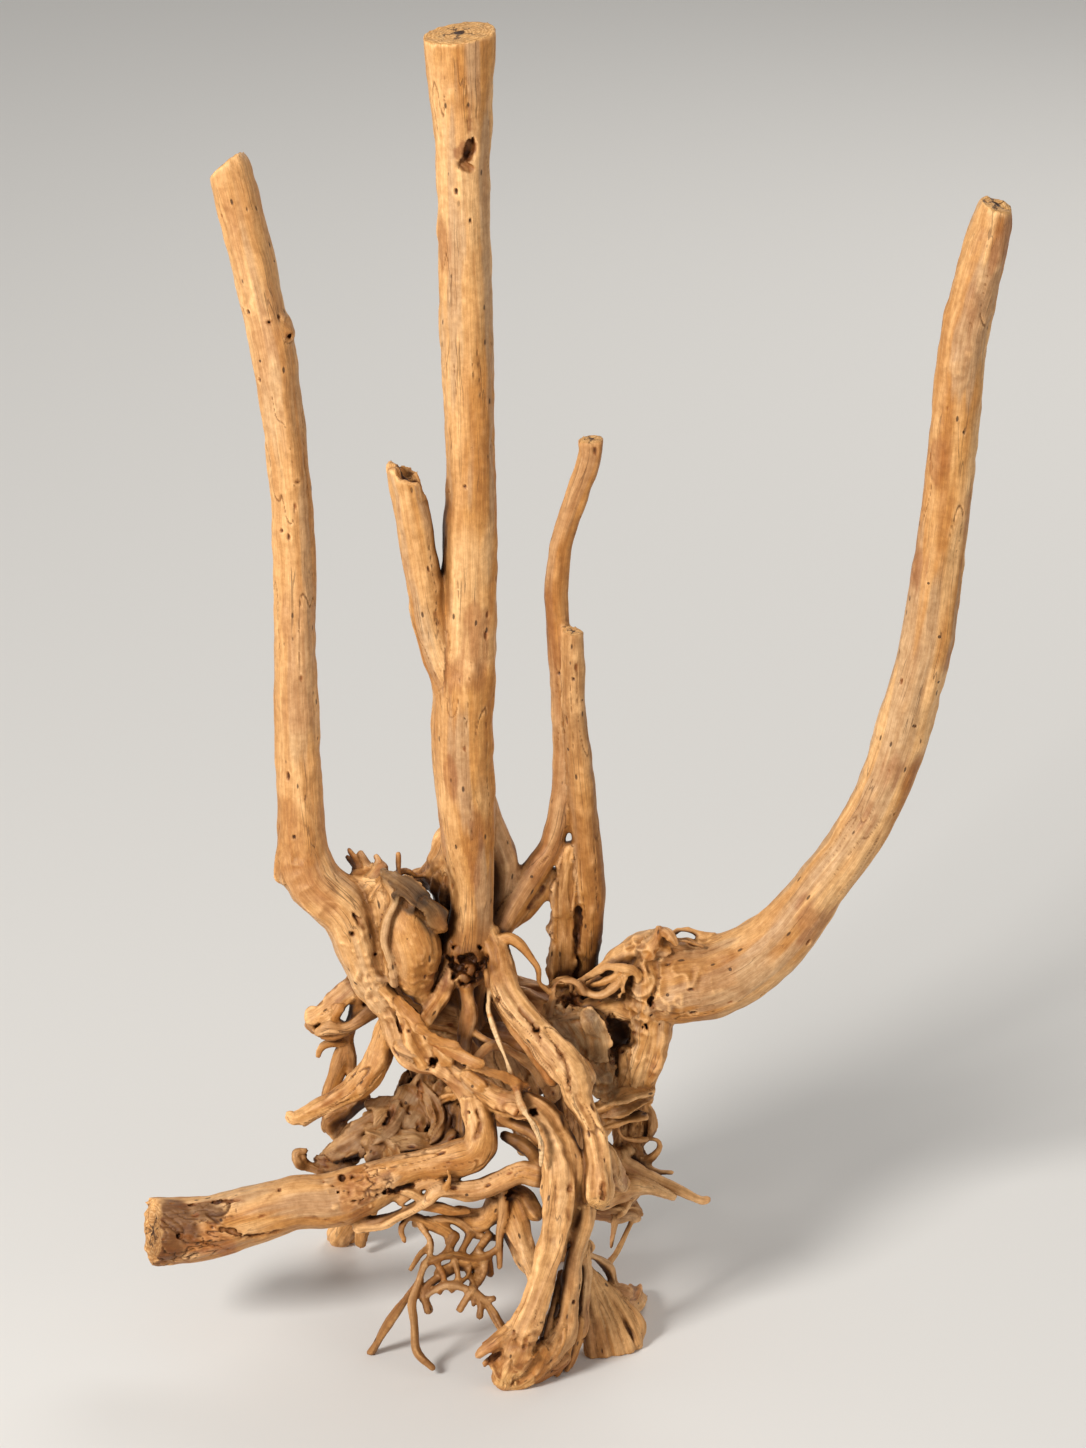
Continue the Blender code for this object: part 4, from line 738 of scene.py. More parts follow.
class Field:
    """The whole root's distance field, the strand that owns each voxel, and what is carved away."""

    def __init__(self):
        low, high = (np.array(corner) / MM for corner in CAD_BOX)
        self.low, self.high = low, high
        self.origin = low - 3 * VOXEL
        self.shape = np.ceil((high - low) / VOXEL).astype(int) + 7
        self.value = np.full(self.shape, BAND, np.float32)
        self.owner = np.full(self.shape, -1, np.int16)
        self.carved = np.zeros(self.shape, bool)

    def block(self, low, high):
        """The first voxel and the end of the block between two corners."""
        first = np.maximum(np.floor((low - self.origin) / VOXEL).astype(int), 0)
        last = np.minimum(np.ceil((high - self.origin) / VOXEL).astype(int) + 1, self.shape)
        return first, np.maximum(last, first + 1)

    def points(self, first, last):
        """The middles of a block's voxels."""
        axes = [self.origin[k] + np.arange(first[k], last[k]) * VOXEL for k in range(3)]
        grid = np.stack(np.meshgrid(*axes, indexing="ij"), axis=-1)
        return grid.reshape(-1, 3)

    def strand_block(self, strand):
        """The strand's own distances, in a block around it, filled piece by piece along the strand."""
        fold = strand.plate["fold"] if strand.plate else 0.0
        reach = strand.radius.max() * 1.5 + BAND + fold
        first, last = self.block(strand.centre.min(axis=0) - reach, strand.centre.max(axis=0) + reach)
        local = np.full(last - first, BAND, np.float32)
        count = len(strand.centre)
        for start in range(0, count - 1, PIECE):
            end = min(start + PIECE, count - 1)
            reach = strand.radius[start:end + 1].max() * (1.0 + strand.style["flute"] * 1.5) + BAND
            reach += fold
            near = strand.centre[start:end + 1]
            a, b = self.block(near.min(axis=0) - reach, near.max(axis=0) + reach)
            a, b = np.maximum(a, first), np.minimum(b, last)
            if np.any(b <= a):
                continue
            points = self.points(a, b)
            chord = near[-1] - near[0]
            span = np.linalg.norm(chord)
            chord = chord / span
            shift = (points - near[0]) @ chord
            radial = np.linalg.norm(points - near[0] - shift[:, None] * chord, axis=1)
            overlap = 1.5 * STEP + 0.35 * reach
            before = reach if start == 0 else overlap
            after = reach if end == count - 1 else overlap
            close = (shift > -before) & (shift < span + after) & (radial < reach + 1.0)
            if not close.any():
                continue
            along = np.clip(strand.along[start] + shift[close], 0.0, strand.length)
            depth = strand.depth(points[close], along)
            part = local[window(a - first, b - first)]
            flat = part.reshape(-1).copy()
            flat[close] = np.minimum(flat[close], depth)
            part[...] = flat.reshape(part.shape)
        return first, last, local

    def add(self, strand, number):
        """Blends a strand into the field, cut off at its sawn face if it has one."""
        first, last, local = self.strand_block(strand)
        if strand.name in SAWN:
            point, missing, ragged = sawn_plane(strand)
            offset = self.points(first, last) - point
            height = offset @ missing
            on_face = offset - height[:, None] * missing
            splinter = noise_at(on_face, 2.0 + ragged, 5) + 0.5 * noise_at(on_face, 1.4 + 0.4 * ragged, 6)
            beyond = height + ragged * splinter
            near = np.linalg.norm(offset, axis=1) < strand.radius.max() * 2.0
            cut = np.where(near, beyond, -BAND).reshape(local.shape)
            local = np.maximum(local, cut).astype(np.float32)
        here = window(first, last)
        value, owner = self.value[here], self.owner[here]
        owner[(local < value) & (local < BAND)] = number
        blend = strand.style["blend"]
        share = np.clip(0.5 + 0.5 * (value - local) / blend, 0.0, 1.0)
        value[...] = value + (local - value) * share - blend * share * (1.0 - share)

    def carve(self, strand):
        """Takes a strand's room, with crumbling edges, out of the field."""
        first, last, local = self.strand_block(strand)
        points = self.points(first, last)
        crumbling = 0.55 * noise_at(points, 2.1, 51) + 0.4 * noise_at(points, 5.0, 52)
        local = local + crumbling.reshape(local.shape)
        here = window(first, last)
        value = self.value[here]
        self.carved[here] |= (-local > value) & (local < 1.5 * VOXEL)
        np.maximum(value, -local, out=value)

    def trim(self):
        """Cuts the field off at the solid's box: the toes stand flat on the floor."""
        for axis in range(3):
            places = self.origin[axis] + np.arange(self.shape[axis]) * VOXEL
            margin = 0.0 if axis == 2 else SIDE_MARGIN
            outside = np.maximum(self.low[axis] + margin - places, places - self.high[axis] + margin)
            shape = [1, 1, 1]
            shape[axis] = -1
            np.maximum(self.value, outside.reshape(shape).astype(np.float32), out=self.value)


# ------------------------------------------------------------------ skin

def largest_skin(points, faces):
    """Keeps the one skin that holds the root together: no crumbs and no sealed hollows."""
    label = np.arange(len(points))
    while True:
        lowest = label[faces].min(axis=1)
        fresh = label.copy()
        for column in range(faces.shape[1]):
            np.minimum.at(fresh, faces[:, column], lowest)
        fresh = fresh[fresh]
        if np.array_equal(fresh, label):
            break
        label = fresh
    names, counts = np.unique(label, return_counts=True)
    kept = label == names[counts.argmax()]
    renumber = np.cumsum(kept) - 1
    return points[kept], renumber[faces[kept[faces[:, 0]]]]


def vertex_normals(points, faces):
    """Unit normals of the vertices, from the quads round each of them."""
    a, b, c, d = (points[faces[:, k]] for k in range(4))
    across = np.cross(c - a, d - b)
    total = np.zeros_like(points)
    for k in range(4):
        for axis in range(3):
            total[:, axis] += np.bincount(faces[:, k], across[:, axis], len(points))
    return total / np.maximum(np.linalg.norm(total, axis=1, keepdims=True), 1e-9)


def relax(values, faces, rounds, share):
    """Moves the values at the vertices, such as their points, towards the mean of their neighbours'."""
    links = np.concatenate([faces[:, [k, (k + 1) % 4]] for k in range(4)])
    size = len(values)
    count = np.bincount(links[:, 0], minlength=size) + np.bincount(links[:, 1], minlength=size)
    for _ in range(rounds):
        mean = np.zeros_like(values)
        for axis in range(values.shape[1]):
            mean[:, axis] = (np.bincount(links[:, 0], values[links[:, 1], axis], size)
                             + np.bincount(links[:, 1], values[links[:, 0], axis], size))
        mean /= np.maximum(count, 1)[:, None]
        values = values + (mean - values) * share
    return values


def mesh_field(field):
    """The field's skin: points in mm and quads."""
    grid = openvdb.FloatGrid(BAND)
    grid.copyFromArray(field.value)
    points, faces = grid.convertToQuads(isovalue=0.0)
    points, faces = largest_skin(np.asarray(points, float), np.asarray(faces).astype(int))
    return points * VOXEL + field.origin, faces


def even_directions(count):
    """Unit directions spread evenly over a sphere."""
    directions = []
    for number in range(count):
        height = 1.0 - (2 * number + 1) / count
        turn = number * math.pi * (3.0 - math.sqrt(5.0))
        flat = math.sqrt(1.0 - height * height)
        directions.append(np.array((flat * math.cos(turn), flat * math.sin(turn), height)))
    return directions


class Skin:
    """The meshed root and what each vertex knows about the wood under it."""

    def __init__(self, field, strands):
        self.field, self.strands = field, strands
        self.points, self.faces = mesh_field(field)
        self.points = relax(self.points, self.faces, 2, 0.4)
        self.normals = vertex_normals(self.points, self.faces)
        self.find_owners()
        self.read_grain()
        self.read_shelter()
        self.read_hollows()

    def cells_below(self):
        """The voxel just under each vertex."""
        inner = (self.points - self.normals * 0.5 * VOXEL - self.field.origin) / VOXEL
        return np.clip(np.round(inner), 0, np.array(self.field.shape) - 1).astype(int)

    def find_owners(self):
        """The number of the strand that each vertex lies on."""
        self.owner = self.field.owner[tuple(self.cells_below().T)]
        self.owner[self.owner < 0] = 0

    def read_grain(self):
        """Place along the grain: sideways and up from the strand's axis, and along it, in mm.

        Each strand is shifted, so that two of them never share a pattern. Sawn ends keep their axis in the
        middle, for the year rings.
        """
        self.grain = np.zeros_like(self.points)
        for number, strand in enumerate(self.strands):
            mine = np.nonzero(self.owner == number)[0]
            if not len(mine):
                continue
            points = self.points[mine]
            along = np.empty(len(mine))
            for start in range(0, len(mine), CHUNK):
                some = points[start:start + CHUNK]
                apart = ((some[:, None, :] - strand.centre[None]) ** 2).sum(axis=2)
                along[start:start + CHUNK] = strand.along[apart.argmin(axis=1)]
            along, offset, across, height = strand.place(points, along)
            spill = np.einsum("ij,ij->i", offset, strand.at(strand.tangent, along))
            shift = (31.0 * (number % 13), 17.0 * (number % 7), 0.0)
            self.grain[mine] = np.stack([across, height, along + spill + 211.0 * number], axis=1) + shift
            if strand.name in SAWN:
                self.grain[mine] -= shift

    def read_shelter(self):
        """The share of the open space over each vertex that nearby wood hides, from 0 to 1."""
        solid = self.field.value[::2, ::2, ::2] < 0
        cell = 2 * VOXEL
        top = np.array(solid.shape) - 1
        base = (self.points + self.normals * 1.2 - self.field.origin) / cell
        hidden, total = np.zeros(len(base)), np.full(len(base), 1e-6)
        for direction in even_directions(SHELTER_DIRECTIONS):
            facing = self.normals @ direction
            ahead = np.nonzero(facing > 0.1)[0]
            blocked = np.zeros(len(ahead), bool)
            for reach in SHELTER_REACHES:
                at = np.clip(base[ahead] + direction * (reach / cell), 0, top).astype(int)
                blocked |= solid[at[:, 0], at[:, 1], at[:, 2]]
            hidden[ahead] += facing[ahead] * blocked
            total[ahead] += facing[ahead]
        self.shelter = relax((hidden / total)[:, None], self.faces, 3, 0.5)[:, 0]

    def read_hollows(self):
        """Hollow is 1 inside what was carved away, and torn fades out further over the skin round it."""
        carved = self.field.carved[tuple(self.cells_below().T)].astype(float)
        self.hollow = relax(carved[:, None], self.faces, 2, 0.5)[:, 0]
        self.torn = relax(carved[:, None], self.faces, 10, 0.6)[:, 0]

    def read_bend(self):
        """Above 0 on ridges and edges, below 0 in creases."""
        self.bend = np.zeros(len(self.points))
        smooth = self.points
        for rounds, size in ((5, 0.22), (22, 0.8)):
            smooth = relax(smooth, self.faces, rounds, 0.6)
            lift = np.einsum("ij,ij->i", self.points - smooth, self.normals)
            self.bend += 0.5 * np.clip(lift / size, -1.0, 1.0)

    def dents(self, rough, swirl):
        """Mm by which fibres, dents and ripples lift the skin."""
        fine = grain_noise(self.grain, 1.7, 16.0, 11)
        broad = grain_noise(self.grain, 4.5, 30.0, 12)
        dent = noise_at(self.points, 7.0, 13)
        grit = noise_at(self.points, 2.6, 14)
        scoop = grain_noise(self.grain, 8.0, 17.0, 17, swirl)
        ripple = grain_noise(self.grain, 4.0, 7.5, 19, -swirl, swirl)
        push = rough * (0.07 * fine + 0.16 * broad + 0.5 * dent + 0.8 * scoop + 0.3 * ripple)
        return push + 0.16 * (rough - 0.4) * grit

    def open_cracks(self, rough):
        """1 in the drying cracks, which run along the grain in some places only."""
        crack = np.abs(grain_noise(self.grain, 5.0, 46.0, 15))
        strong = smooth_step(noise_at(self.points, 34.0, 16), 0.12, 0.5)
        self.crack = (1.0 - smooth_step(crack, 0.0, 0.06)) * strong * np.clip(rough, 0.5, 1.0)

    def bore_pits(self, thick):
        """1 in the middle of slits along the grain and of round holes."""
        wormy = 0.5 + 0.5 * smooth_step(noise_at(self.points, 40.0, 20), -0.3, 0.5)
        slits = pits_at(*(self.grain / (7.0, 7.0, 15.0)).T, 31, 0.26, 0.17)
        holes = pits_at(*(self.points / 11.0).T, 32, 0.16, 0.105)
        self.pit = np.maximum(slits * wormy, holes) * thick

    def rot(self, swirl):
        """Opens the seams and checks of the rotten patches, and returns 1 inside these, 0 outside."""
        rotten = np.zeros(len(self.points))
        for centre, radius in ROT:
            rotten = np.maximum(rotten, in_ball(self, centre, radius))
        seam = np.abs(grain_noise(self.grain, 3.4, 11.0, 33, swirl))
        check = np.abs(grain_noise(self.grain, 5.0, 5.0, 34, 0.0, swirl))
        seam = 1.0 - smooth_step(seam, 0.02, 0.22)
        check = 0.8 - 0.8 * smooth_step(check, 0.02, 0.12)
        self.crumble = np.maximum(seam, check) * rotten
        return rotten

    def roughen(self):
        """Dents, ripples, pits, cracks and worn grain, moved straight into the mesh."""
        rough = np.array([ROUGHNESS_OF[strand.group] for strand in self.strands])[self.owner]
        thick = np.array([min(1.0, strand.radius.max() / THICK) for strand in self.strands])[self.owner]
        rough = rough * (0.3 + 0.7 * thick)
        swirl = noise_at(self.points, 19.0, 18) * 5.0
        self.open_cracks(rough)
        self.bore_pits(thick)
        rotten = self.rot(swirl)
        push = self.dents(rough, swirl) - CRACK_DEPTH * self.crack
        push += 0.4 * rotten * (1.0 + noise_at(self.points, 3.0, 35))
        push -= PIT_DEPTH * self.pit + SEAM_DEPTH * self.crumble
        warts = pits_at(*(self.points / 5.0).T, 36, 0.5, 0.42)
        bent = (self.grain + swirl[:, None] * (1.0, -1.0, 1.0)) @ SLANT / (8.0, 8.0, 5.5)
        wrinkle = 0.6 - 2.0 * np.abs(noise(*bent.T, 37))
        for centre, radius, wart, crease in CRUMPLED:
            push += (wart * warts + crease * wrinkle) * in_ball(self, centre, radius)
        push *= smooth_step(self.points[:, 2], 0.2, 3.0)
        sawn = self.sawn_share()
        push *= 1.0 - 0.75 * sawn
        self.spread_rings(sawn)
        self.points = self.points + self.normals * push[:, None]
        low, high = self.field.low + SKIN_MARGIN, self.field.high - SKIN_MARGIN
        self.points[:, :2] = np.clip(self.points[:, :2], low[:2], high[:2])
        self.points[:, 2] = np.clip(self.points[:, 2], 0.0, high[2])
        self.normals = vertex_normals(self.points, self.faces)
        self.read_bend()
        # Thin strands get fainter painted highlights and painted crease shade.
        self.bend *= thick

    def spread_rings(self, sawn):
        """Gives a thin sawn end as many year rings as a thick one."""
        for number, strand in enumerate(self.strands):
            if strand.name in SAWN:
                mine = (self.owner == number) & (sawn > 0.3)
                self.grain[mine, :2] *= max(1.0, RINGED / strand.radius[:END_SAMPLES].mean())

    def sawn_share(self):
        """1 on sawn faces, 0 elsewhere."""
        share = np.zeros(len(self.points))
        for strand in self.strands:
            if strand.name not in SAWN:
                continue
            point, missing, ragged = sawn_plane(strand)
            offset = self.points - point
            facing = smooth_step(self.normals @ missing, 0.5 - 0.06 * ragged, 0.85 - 0.1 * ragged)
            close = 1.0 - smooth_step(np.abs(offset @ missing), 1.6 + ragged, 3.0 + 2.0 * ragged)
            near = np.linalg.norm(offset, axis=1) < strand.radius[:END_SAMPLES].max() * 1.9
            share = np.maximum(share, facing * close * near)
        return share


# ------------------------------------------------------------------ colour

# Linear colours of the wood.
PALE = np.array((0.82, 0.535, 0.275))
GOLD = np.array((0.58, 0.29, 0.088))
HONEY = np.array((0.46, 0.19, 0.038))
RUST = np.array((0.30, 0.088, 0.013))
UMBER = np.array((0.055, 0.018, 0.003))
ASH = np.array((0.50, 0.34, 0.215))
GREY_BARK = np.array((0.18, 0.103, 0.052))
CHEEK = np.array((0.86, 0.56, 0.26))


def series(stem, letters):
    """The names of strands that differ in their last letter."""
    return tuple(stem + letter for letter in letters)


# Strands with a colour of their own: their names, the colour, how strongly it covers, and to how many mm
# round them. A share over 1 covers fully where the fine streaks would thin it out.
SPECIAL = (
    (("left_limb",), PALE * 1.05, 0.4, 3.0),
    (("burl",), GOLD * 1.05, 0.6, 2.5),
    (("pillar_mid",), RUST * 0.8, 0.65, 1.5),
    (("stub_limb",), HONEY * 0.62, 0.7, 1.5),
    (("thin_limb", "thin_limb_ridge"), HONEY * 0.85, 0.6, 1.5),
    (("front_leg", "front_leg_right", "diagonal_root"), PALE, 0.42, 2.0),
    ((*series("fan_", "abcdef"), "fan_back", "leg_fill"), GOLD * 0.95, 0.5, 1.2),
    (("bark_upper", "bark_middle"), GREY_BARK * 0.8, 1.25, 2.4),
    (("bark_lower", "bark_edge"), GREY_BARK * 0.3, 1.25, 4.5),
    (("sheet_main", "sheet_wing", "sheet_lobe", "sheet_top", "sheet_mid", "sheet_lip"),
     GREY_BARK * (1.05, 1.2, 1.3), 0.88, 1.6),
    (("fold_main", "fold_right", "fold_left", "fold_shelf", "fold_end", *series("fold_swell_", "abc"),
      *series("fold_", "abcd")), GREY_BARK * (1.4, 1.5, 1.6), 0.75, 1.6),
    (("plank_left",), HONEY * 0.55, 0.65, 1.5),
    ((*series("knob_", "abc"), "knob_stem", "knob_foot"), HONEY * 0.7, 0.5, 1.5),
    (("pale_rootlet",), np.array((0.9, 0.7, 0.44)), 0.97, 0.8),
    (("vine", "shoulder_hair"), PALE * 0.9, 0.55, 0.8),
    (("brown_core", "spur_lump", "rot_a", "rot_b", "knob_foot", "inner_grey", "rag_left"), UMBER * 2.6,
     0.6, 2.0),
    (series("hair_", "abcdefghijklmnopqrst"), HONEY * 0.42, 0.8, 1.0),
    (series("flake_", "abcd"), HONEY * 0.95, 0.8, 0.8),
    (series("splinter_", "adef"), RUST * 0.6, 0.75, 0.8),
)
# Stains, and two patches of painted shade: centre and radius in mm, colour, strength.
STAINS = (
    ((-50, -18, 208), 24.0, HONEY * 0.8, 0.8),
    # painted shade in the honeycomb's holes
    ((-51, -17, 199), 16.0, UMBER * 2.6, 0.85),
    ((-200, -58, 80), 22.0, UMBER * 2.2, 0.85),
    ((-184, -60, 86), 15.0, UMBER * 2.0, 0.8),
    ((-212, -50, 60), 17.0, UMBER * 3.5, 0.7),
    ((-180, -66, 58), 20.0, RUST * 1.2, 0.6),
    # painted shade in the hollow heart of the crown
    ((-52, 14, 160), 31.0, UMBER * 1.5, 0.92),
    ((-66, -14, 188), 9.0, RUST * 0.7, 0.6),
    ((-132, -15, 240), 19.0, RUST, 0.4),
    ((-148, -8, 262), 26.0, HONEY * 0.9, 0.55),
    ((-106, -50, 94), 13.0, HONEY * 1.1, 0.5),
    ((-49, -24, 623), 7.0, RUST * 0.8, 0.7),
    ((68, 0, 190), 20.0, HONEY * 0.8, 0.5),
    ((-80, -30, 84), 18.0, HONEY * 0.7, 0.4),
    ((-20, -96, 14), 34.0, HONEY * 0.9, 0.35),
    ((-28, -104, 30), 15.0, RUST * 1.2, 0.3),
)


def mix(first, second, share):
    """From the first colour to the second, by a share for each vertex."""
    return first + (second - first) * share[:, None]


def near_strand(skin, names, reach):
    """1 close to the named strands, fading to 0 at reach mm from their skin."""
    share = np.zeros(len(skin.points))
    for strand in skin.strands:
        if strand.name not in names:
            continue
        low = strand.centre.min(axis=0) - strand.radius.max() - reach
        high = strand.centre.max(axis=0) + strand.radius.max() + reach
        near = np.nonzero(np.all((skin.points > low) & (skin.points < high), axis=1))[0]
        for start in range(0, len(near), CHUNK):
            some = near[start:start + CHUNK]
            apart = np.linalg.norm(skin.points[some][:, None] - strand.centre[None], axis=2)
            away = (apart - strand.radius[None]).min(axis=1)
            share[some] = np.maximum(share[some], 1.0 - smooth_step(away, 0.0, reach))
    return share


def in_ball(skin, centre, radius):
    """1 inside a ball with a ragged edge, 0 outside; centre and radius in mm."""
    away = np.linalg.norm(skin.points - np.array(centre, float), axis=1) / radius
    away += 0.35 * noise_at(skin.points, radius * 0.45, int(sum(centre)) % 89)
    return 1.0 - smooth_step(away, 0.55, 1.0)


def weathered_and_lit(skin, fine):
    """The wood's colour without stains and painted shade: pale, golden, ashen, rusty streaks and a painted
    lit side.
    """
    points, grain = skin.points, skin.grain
    groups = np.array([strand.group for strand in skin.strands])[skin.owner]
    rooty = np.isin(groups, ("root", "rootlet", "back")).astype(float)
    crown = np.isin(groups, ("crown", "back")).astype(float)
    broad = noise_at(points, 46.0, 21)
    streak = grain_noise(grain, 5.5, 60.0, 22)
    patch = grain_noise(grain, 11.0, 26.0, 26)
    ash = grain_noise(grain, 7.0, 75.0, 24)
    rust = noise_at(points * (1.0, 1.0, 0.55), 15.0, 25) + 0.35 * fine
    # Painted light: paler on the side that faces up, left and forward, towards the key lamp.
    painted_lit_side = smooth_step(skin.normals @ np.array((-0.78, -0.36, 0.5)) + 0.3 * streak, 0.25, 0.95)
    pale = smooth_step(broad * 0.7 + streak * 0.4 + patch * 0.4 + 0.1, -0.1, 0.8)
    colour = mix(np.tile(GOLD, (len(points), 1)), PALE, pale * 0.7)
    colour = mix(colour, HONEY, smooth_step(-streak * 0.5 - broad * 0.4 - patch * 0.5, 0.05, 0.8) * 0.6)
    # The painted lit side, fainter on roots.
    colour = mix(colour, PALE * 1.04, painted_lit_side * (0.5 - 0.15 * rooty))
    colour = mix(colour, ASH, smooth_step(ash + 0.25 * fine, 0.16, 0.6) * (0.62 - 0.3 * rooty))
    return mix(colour, RUST, smooth_step(rust + 0.16 * rooty + 0.1 * crown, 0.42, 0.95) * 0.5)


def paint(skin):
    """The wood's colour at every vertex with painted highlights and shade, before its fine grain, and where
    it is sawn.
    """
    fine = grain_noise(skin.grain, 2.2, 26.0, 23)
    colour = weathered_and_lit(skin, fine)
    # No painted highlights on the ridges round the carved hollows.
    skin.bend -= np.maximum(skin.bend, 0.0) * smooth_step(skin.torn, 0.1, 0.5)
    # Painted highlights: ridges and edges turn pale.
    colour = mix(colour, PALE * 1.06, smooth_step(skin.bend, 0.12, 0.8) * 0.5)
    for names, tone, share, reach in SPECIAL:
        near = near_strand(skin, names, reach)
        colour = mix(colour, tone, near * np.minimum(share * (0.8 + 0.2 * fine), 1.0))
    # Painted highlights again, over the strands' own colours: ridges and edges brighter.
    colour = mix(colour, colour * 1.35, smooth_step(skin.bend, 0.15, 0.9) * 0.5)
    for centre, radius, tone, share in STAINS:
        colour = mix(colour, tone, in_ball(skin, centre, radius) * share)
    # How far each vertex lies in the shade of nearby wood, for the painted shade in the hollows.
    deep = smooth_step(skin.shelter, 0.12, 0.5)
    sawn = skin.sawn_share()
    worn = np.isin(skin.owner, [n for n, strand in enumerate(skin.strands) if strand.name in OLD_BREAKS])
    for tone, share in (
            (HONEY * 0.6, smooth_step(-skin.bend, 0.1, 0.7) * 0.7),            # painted shade in creases
            (HONEY * 0.48, smooth_step(skin.shelter, 0.08, 0.38) * 0.78),      # painted shade where nearby wood hides the light
            (UMBER, smooth_step(skin.shelter, 0.32, 0.7) * 0.95),              # deeper painted shade between the strands
            (UMBER, skin.crack * 0.6),
            (UMBER * 1.2, skin.crumble * 0.8),
            (RUST, smooth_step(skin.pit, 0.02, 0.4) * 0.7),                    # the rims of pits
            (UMBER * 0.7, smooth_step(skin.pit, 0.3, 0.8) * 0.9),              # and their floors
            (HONEY * 0.5, smooth_step(skin.torn, 0.2, 0.8) * 0.55),            # round the carved hollows
            # rust brown in the carved hollows, partly the rotten wood's colour and partly painted shade, more
            # where sheltered
            (RUST * 0.9, smooth_step(skin.hollow, 0.1, 0.8) * (0.35 + 0.4 * deep)),
            # painted shade deep in the sheltered hollows
            (UMBER, smooth_step(skin.hollow, 0.4, 1.0) * deep * 0.9),
            (CHEEK, sawn * np.where(worn, 0.35, 0.9))):
        colour = mix(colour, tone, share)
    return np.clip(colour, 0.0, 1.0), sawn


# ------------------------------------------------------------------ material

class Nodes:
    """Short names for building a material's node tree."""

    def __init__(self, material):
        material.use_nodes = True
        self.tree = material.node_tree
        self.tree.nodes.clear()

    def new(self, kind, inputs=None, **settings):
        node = self.tree.nodes.new(kind)
        for name, value in settings.items():
            setattr(node, name, value)
        for name, value in (inputs or {}).items():
            self.feed(value, node.inputs[name])
        return node

    def feed(self, value, socket):
        if isinstance(value, bpy.types.NodeSocket):
            self.tree.links.new(value, socket)
        else:
            socket.default_value = value

    def attribute(self, name):
        return self.new("ShaderNodeAttribute", attribute_name=name, attribute_type="GEOMETRY")

    def stretch(self, vector, scale):
        return self.new("ShaderNodeMapping", {"Vector": vector, "Scale": scale}).outputs["Vector"]

    def noise(self, vector, scale=1.0, detail=4.0, roughness=0.55, distortion=0.0):
        inputs = {"Vector": vector, "Scale": scale, "Detail": detail, "Roughness": roughness,
                  "Distortion": distortion}
        return self.new("ShaderNodeTexNoise", inputs).outputs["Fac"]

    def cells(self, vector, scale=1.0):
        """The distance from the middle of scattered cells, and a chance of 0 to 1 for each channel."""
        cells = self.new("ShaderNodeTexVoronoi", {"Vector": vector, "Scale": scale})
        chances = self.new("ShaderNodeSeparateColor", {"Color": cells.outputs["Color"]})
        return cells.outputs["Distance"], chances.outputs

    def ramp(self, value, low, high, out_low=0.0, out_high=1.0):
        inputs = {"Value": value, "From Min": low, "From Max": high, "To Min": out_low, "To Max": out_high}
        return self.new("ShaderNodeMapRange", inputs, interpolation_type="SMOOTHSTEP").outputs["Result"]

    def math(self, operation, first, second=0.0, third=0.0):
        node = self.new("ShaderNodeMath", operation=operation)
        for value, socket in zip((first, second, third), node.inputs):
            self.feed(value, socket)
        return node.outputs["Value"]

    def mix(self, share, first, second, blend="MIX"):
        """Mixes two colours; a Mix node takes its factor on socket 0 and the colours on 6 and 7."""
        node = self.new("ShaderNodeMix", data_type="RGBA", blend_type=blend)
        self.feed(share, node.inputs[0])
        self.feed(first, node.inputs[6])
        self.feed(second, node.inputs[7])
        return node.outputs[2]

    def shade(self, colour, pattern, low, high, dark, light):
        """Multiplies a colour by a dark to light ramp over a pattern."""
        ramp = self.mix(self.ramp(pattern, low, high), (*dark, 1.0), (*light, 1.0))
        return self.mix(1.0, colour, ramp, "MULTIPLY")


PIT_COLOUR = (0.05, 0.02, 0.008, 1.0)
SPLIT_COLOUR = (0.09, 0.04, 0.016, 1.0)
RAY_COLOUR = (0.05, 0.02, 0.01, 1.0)


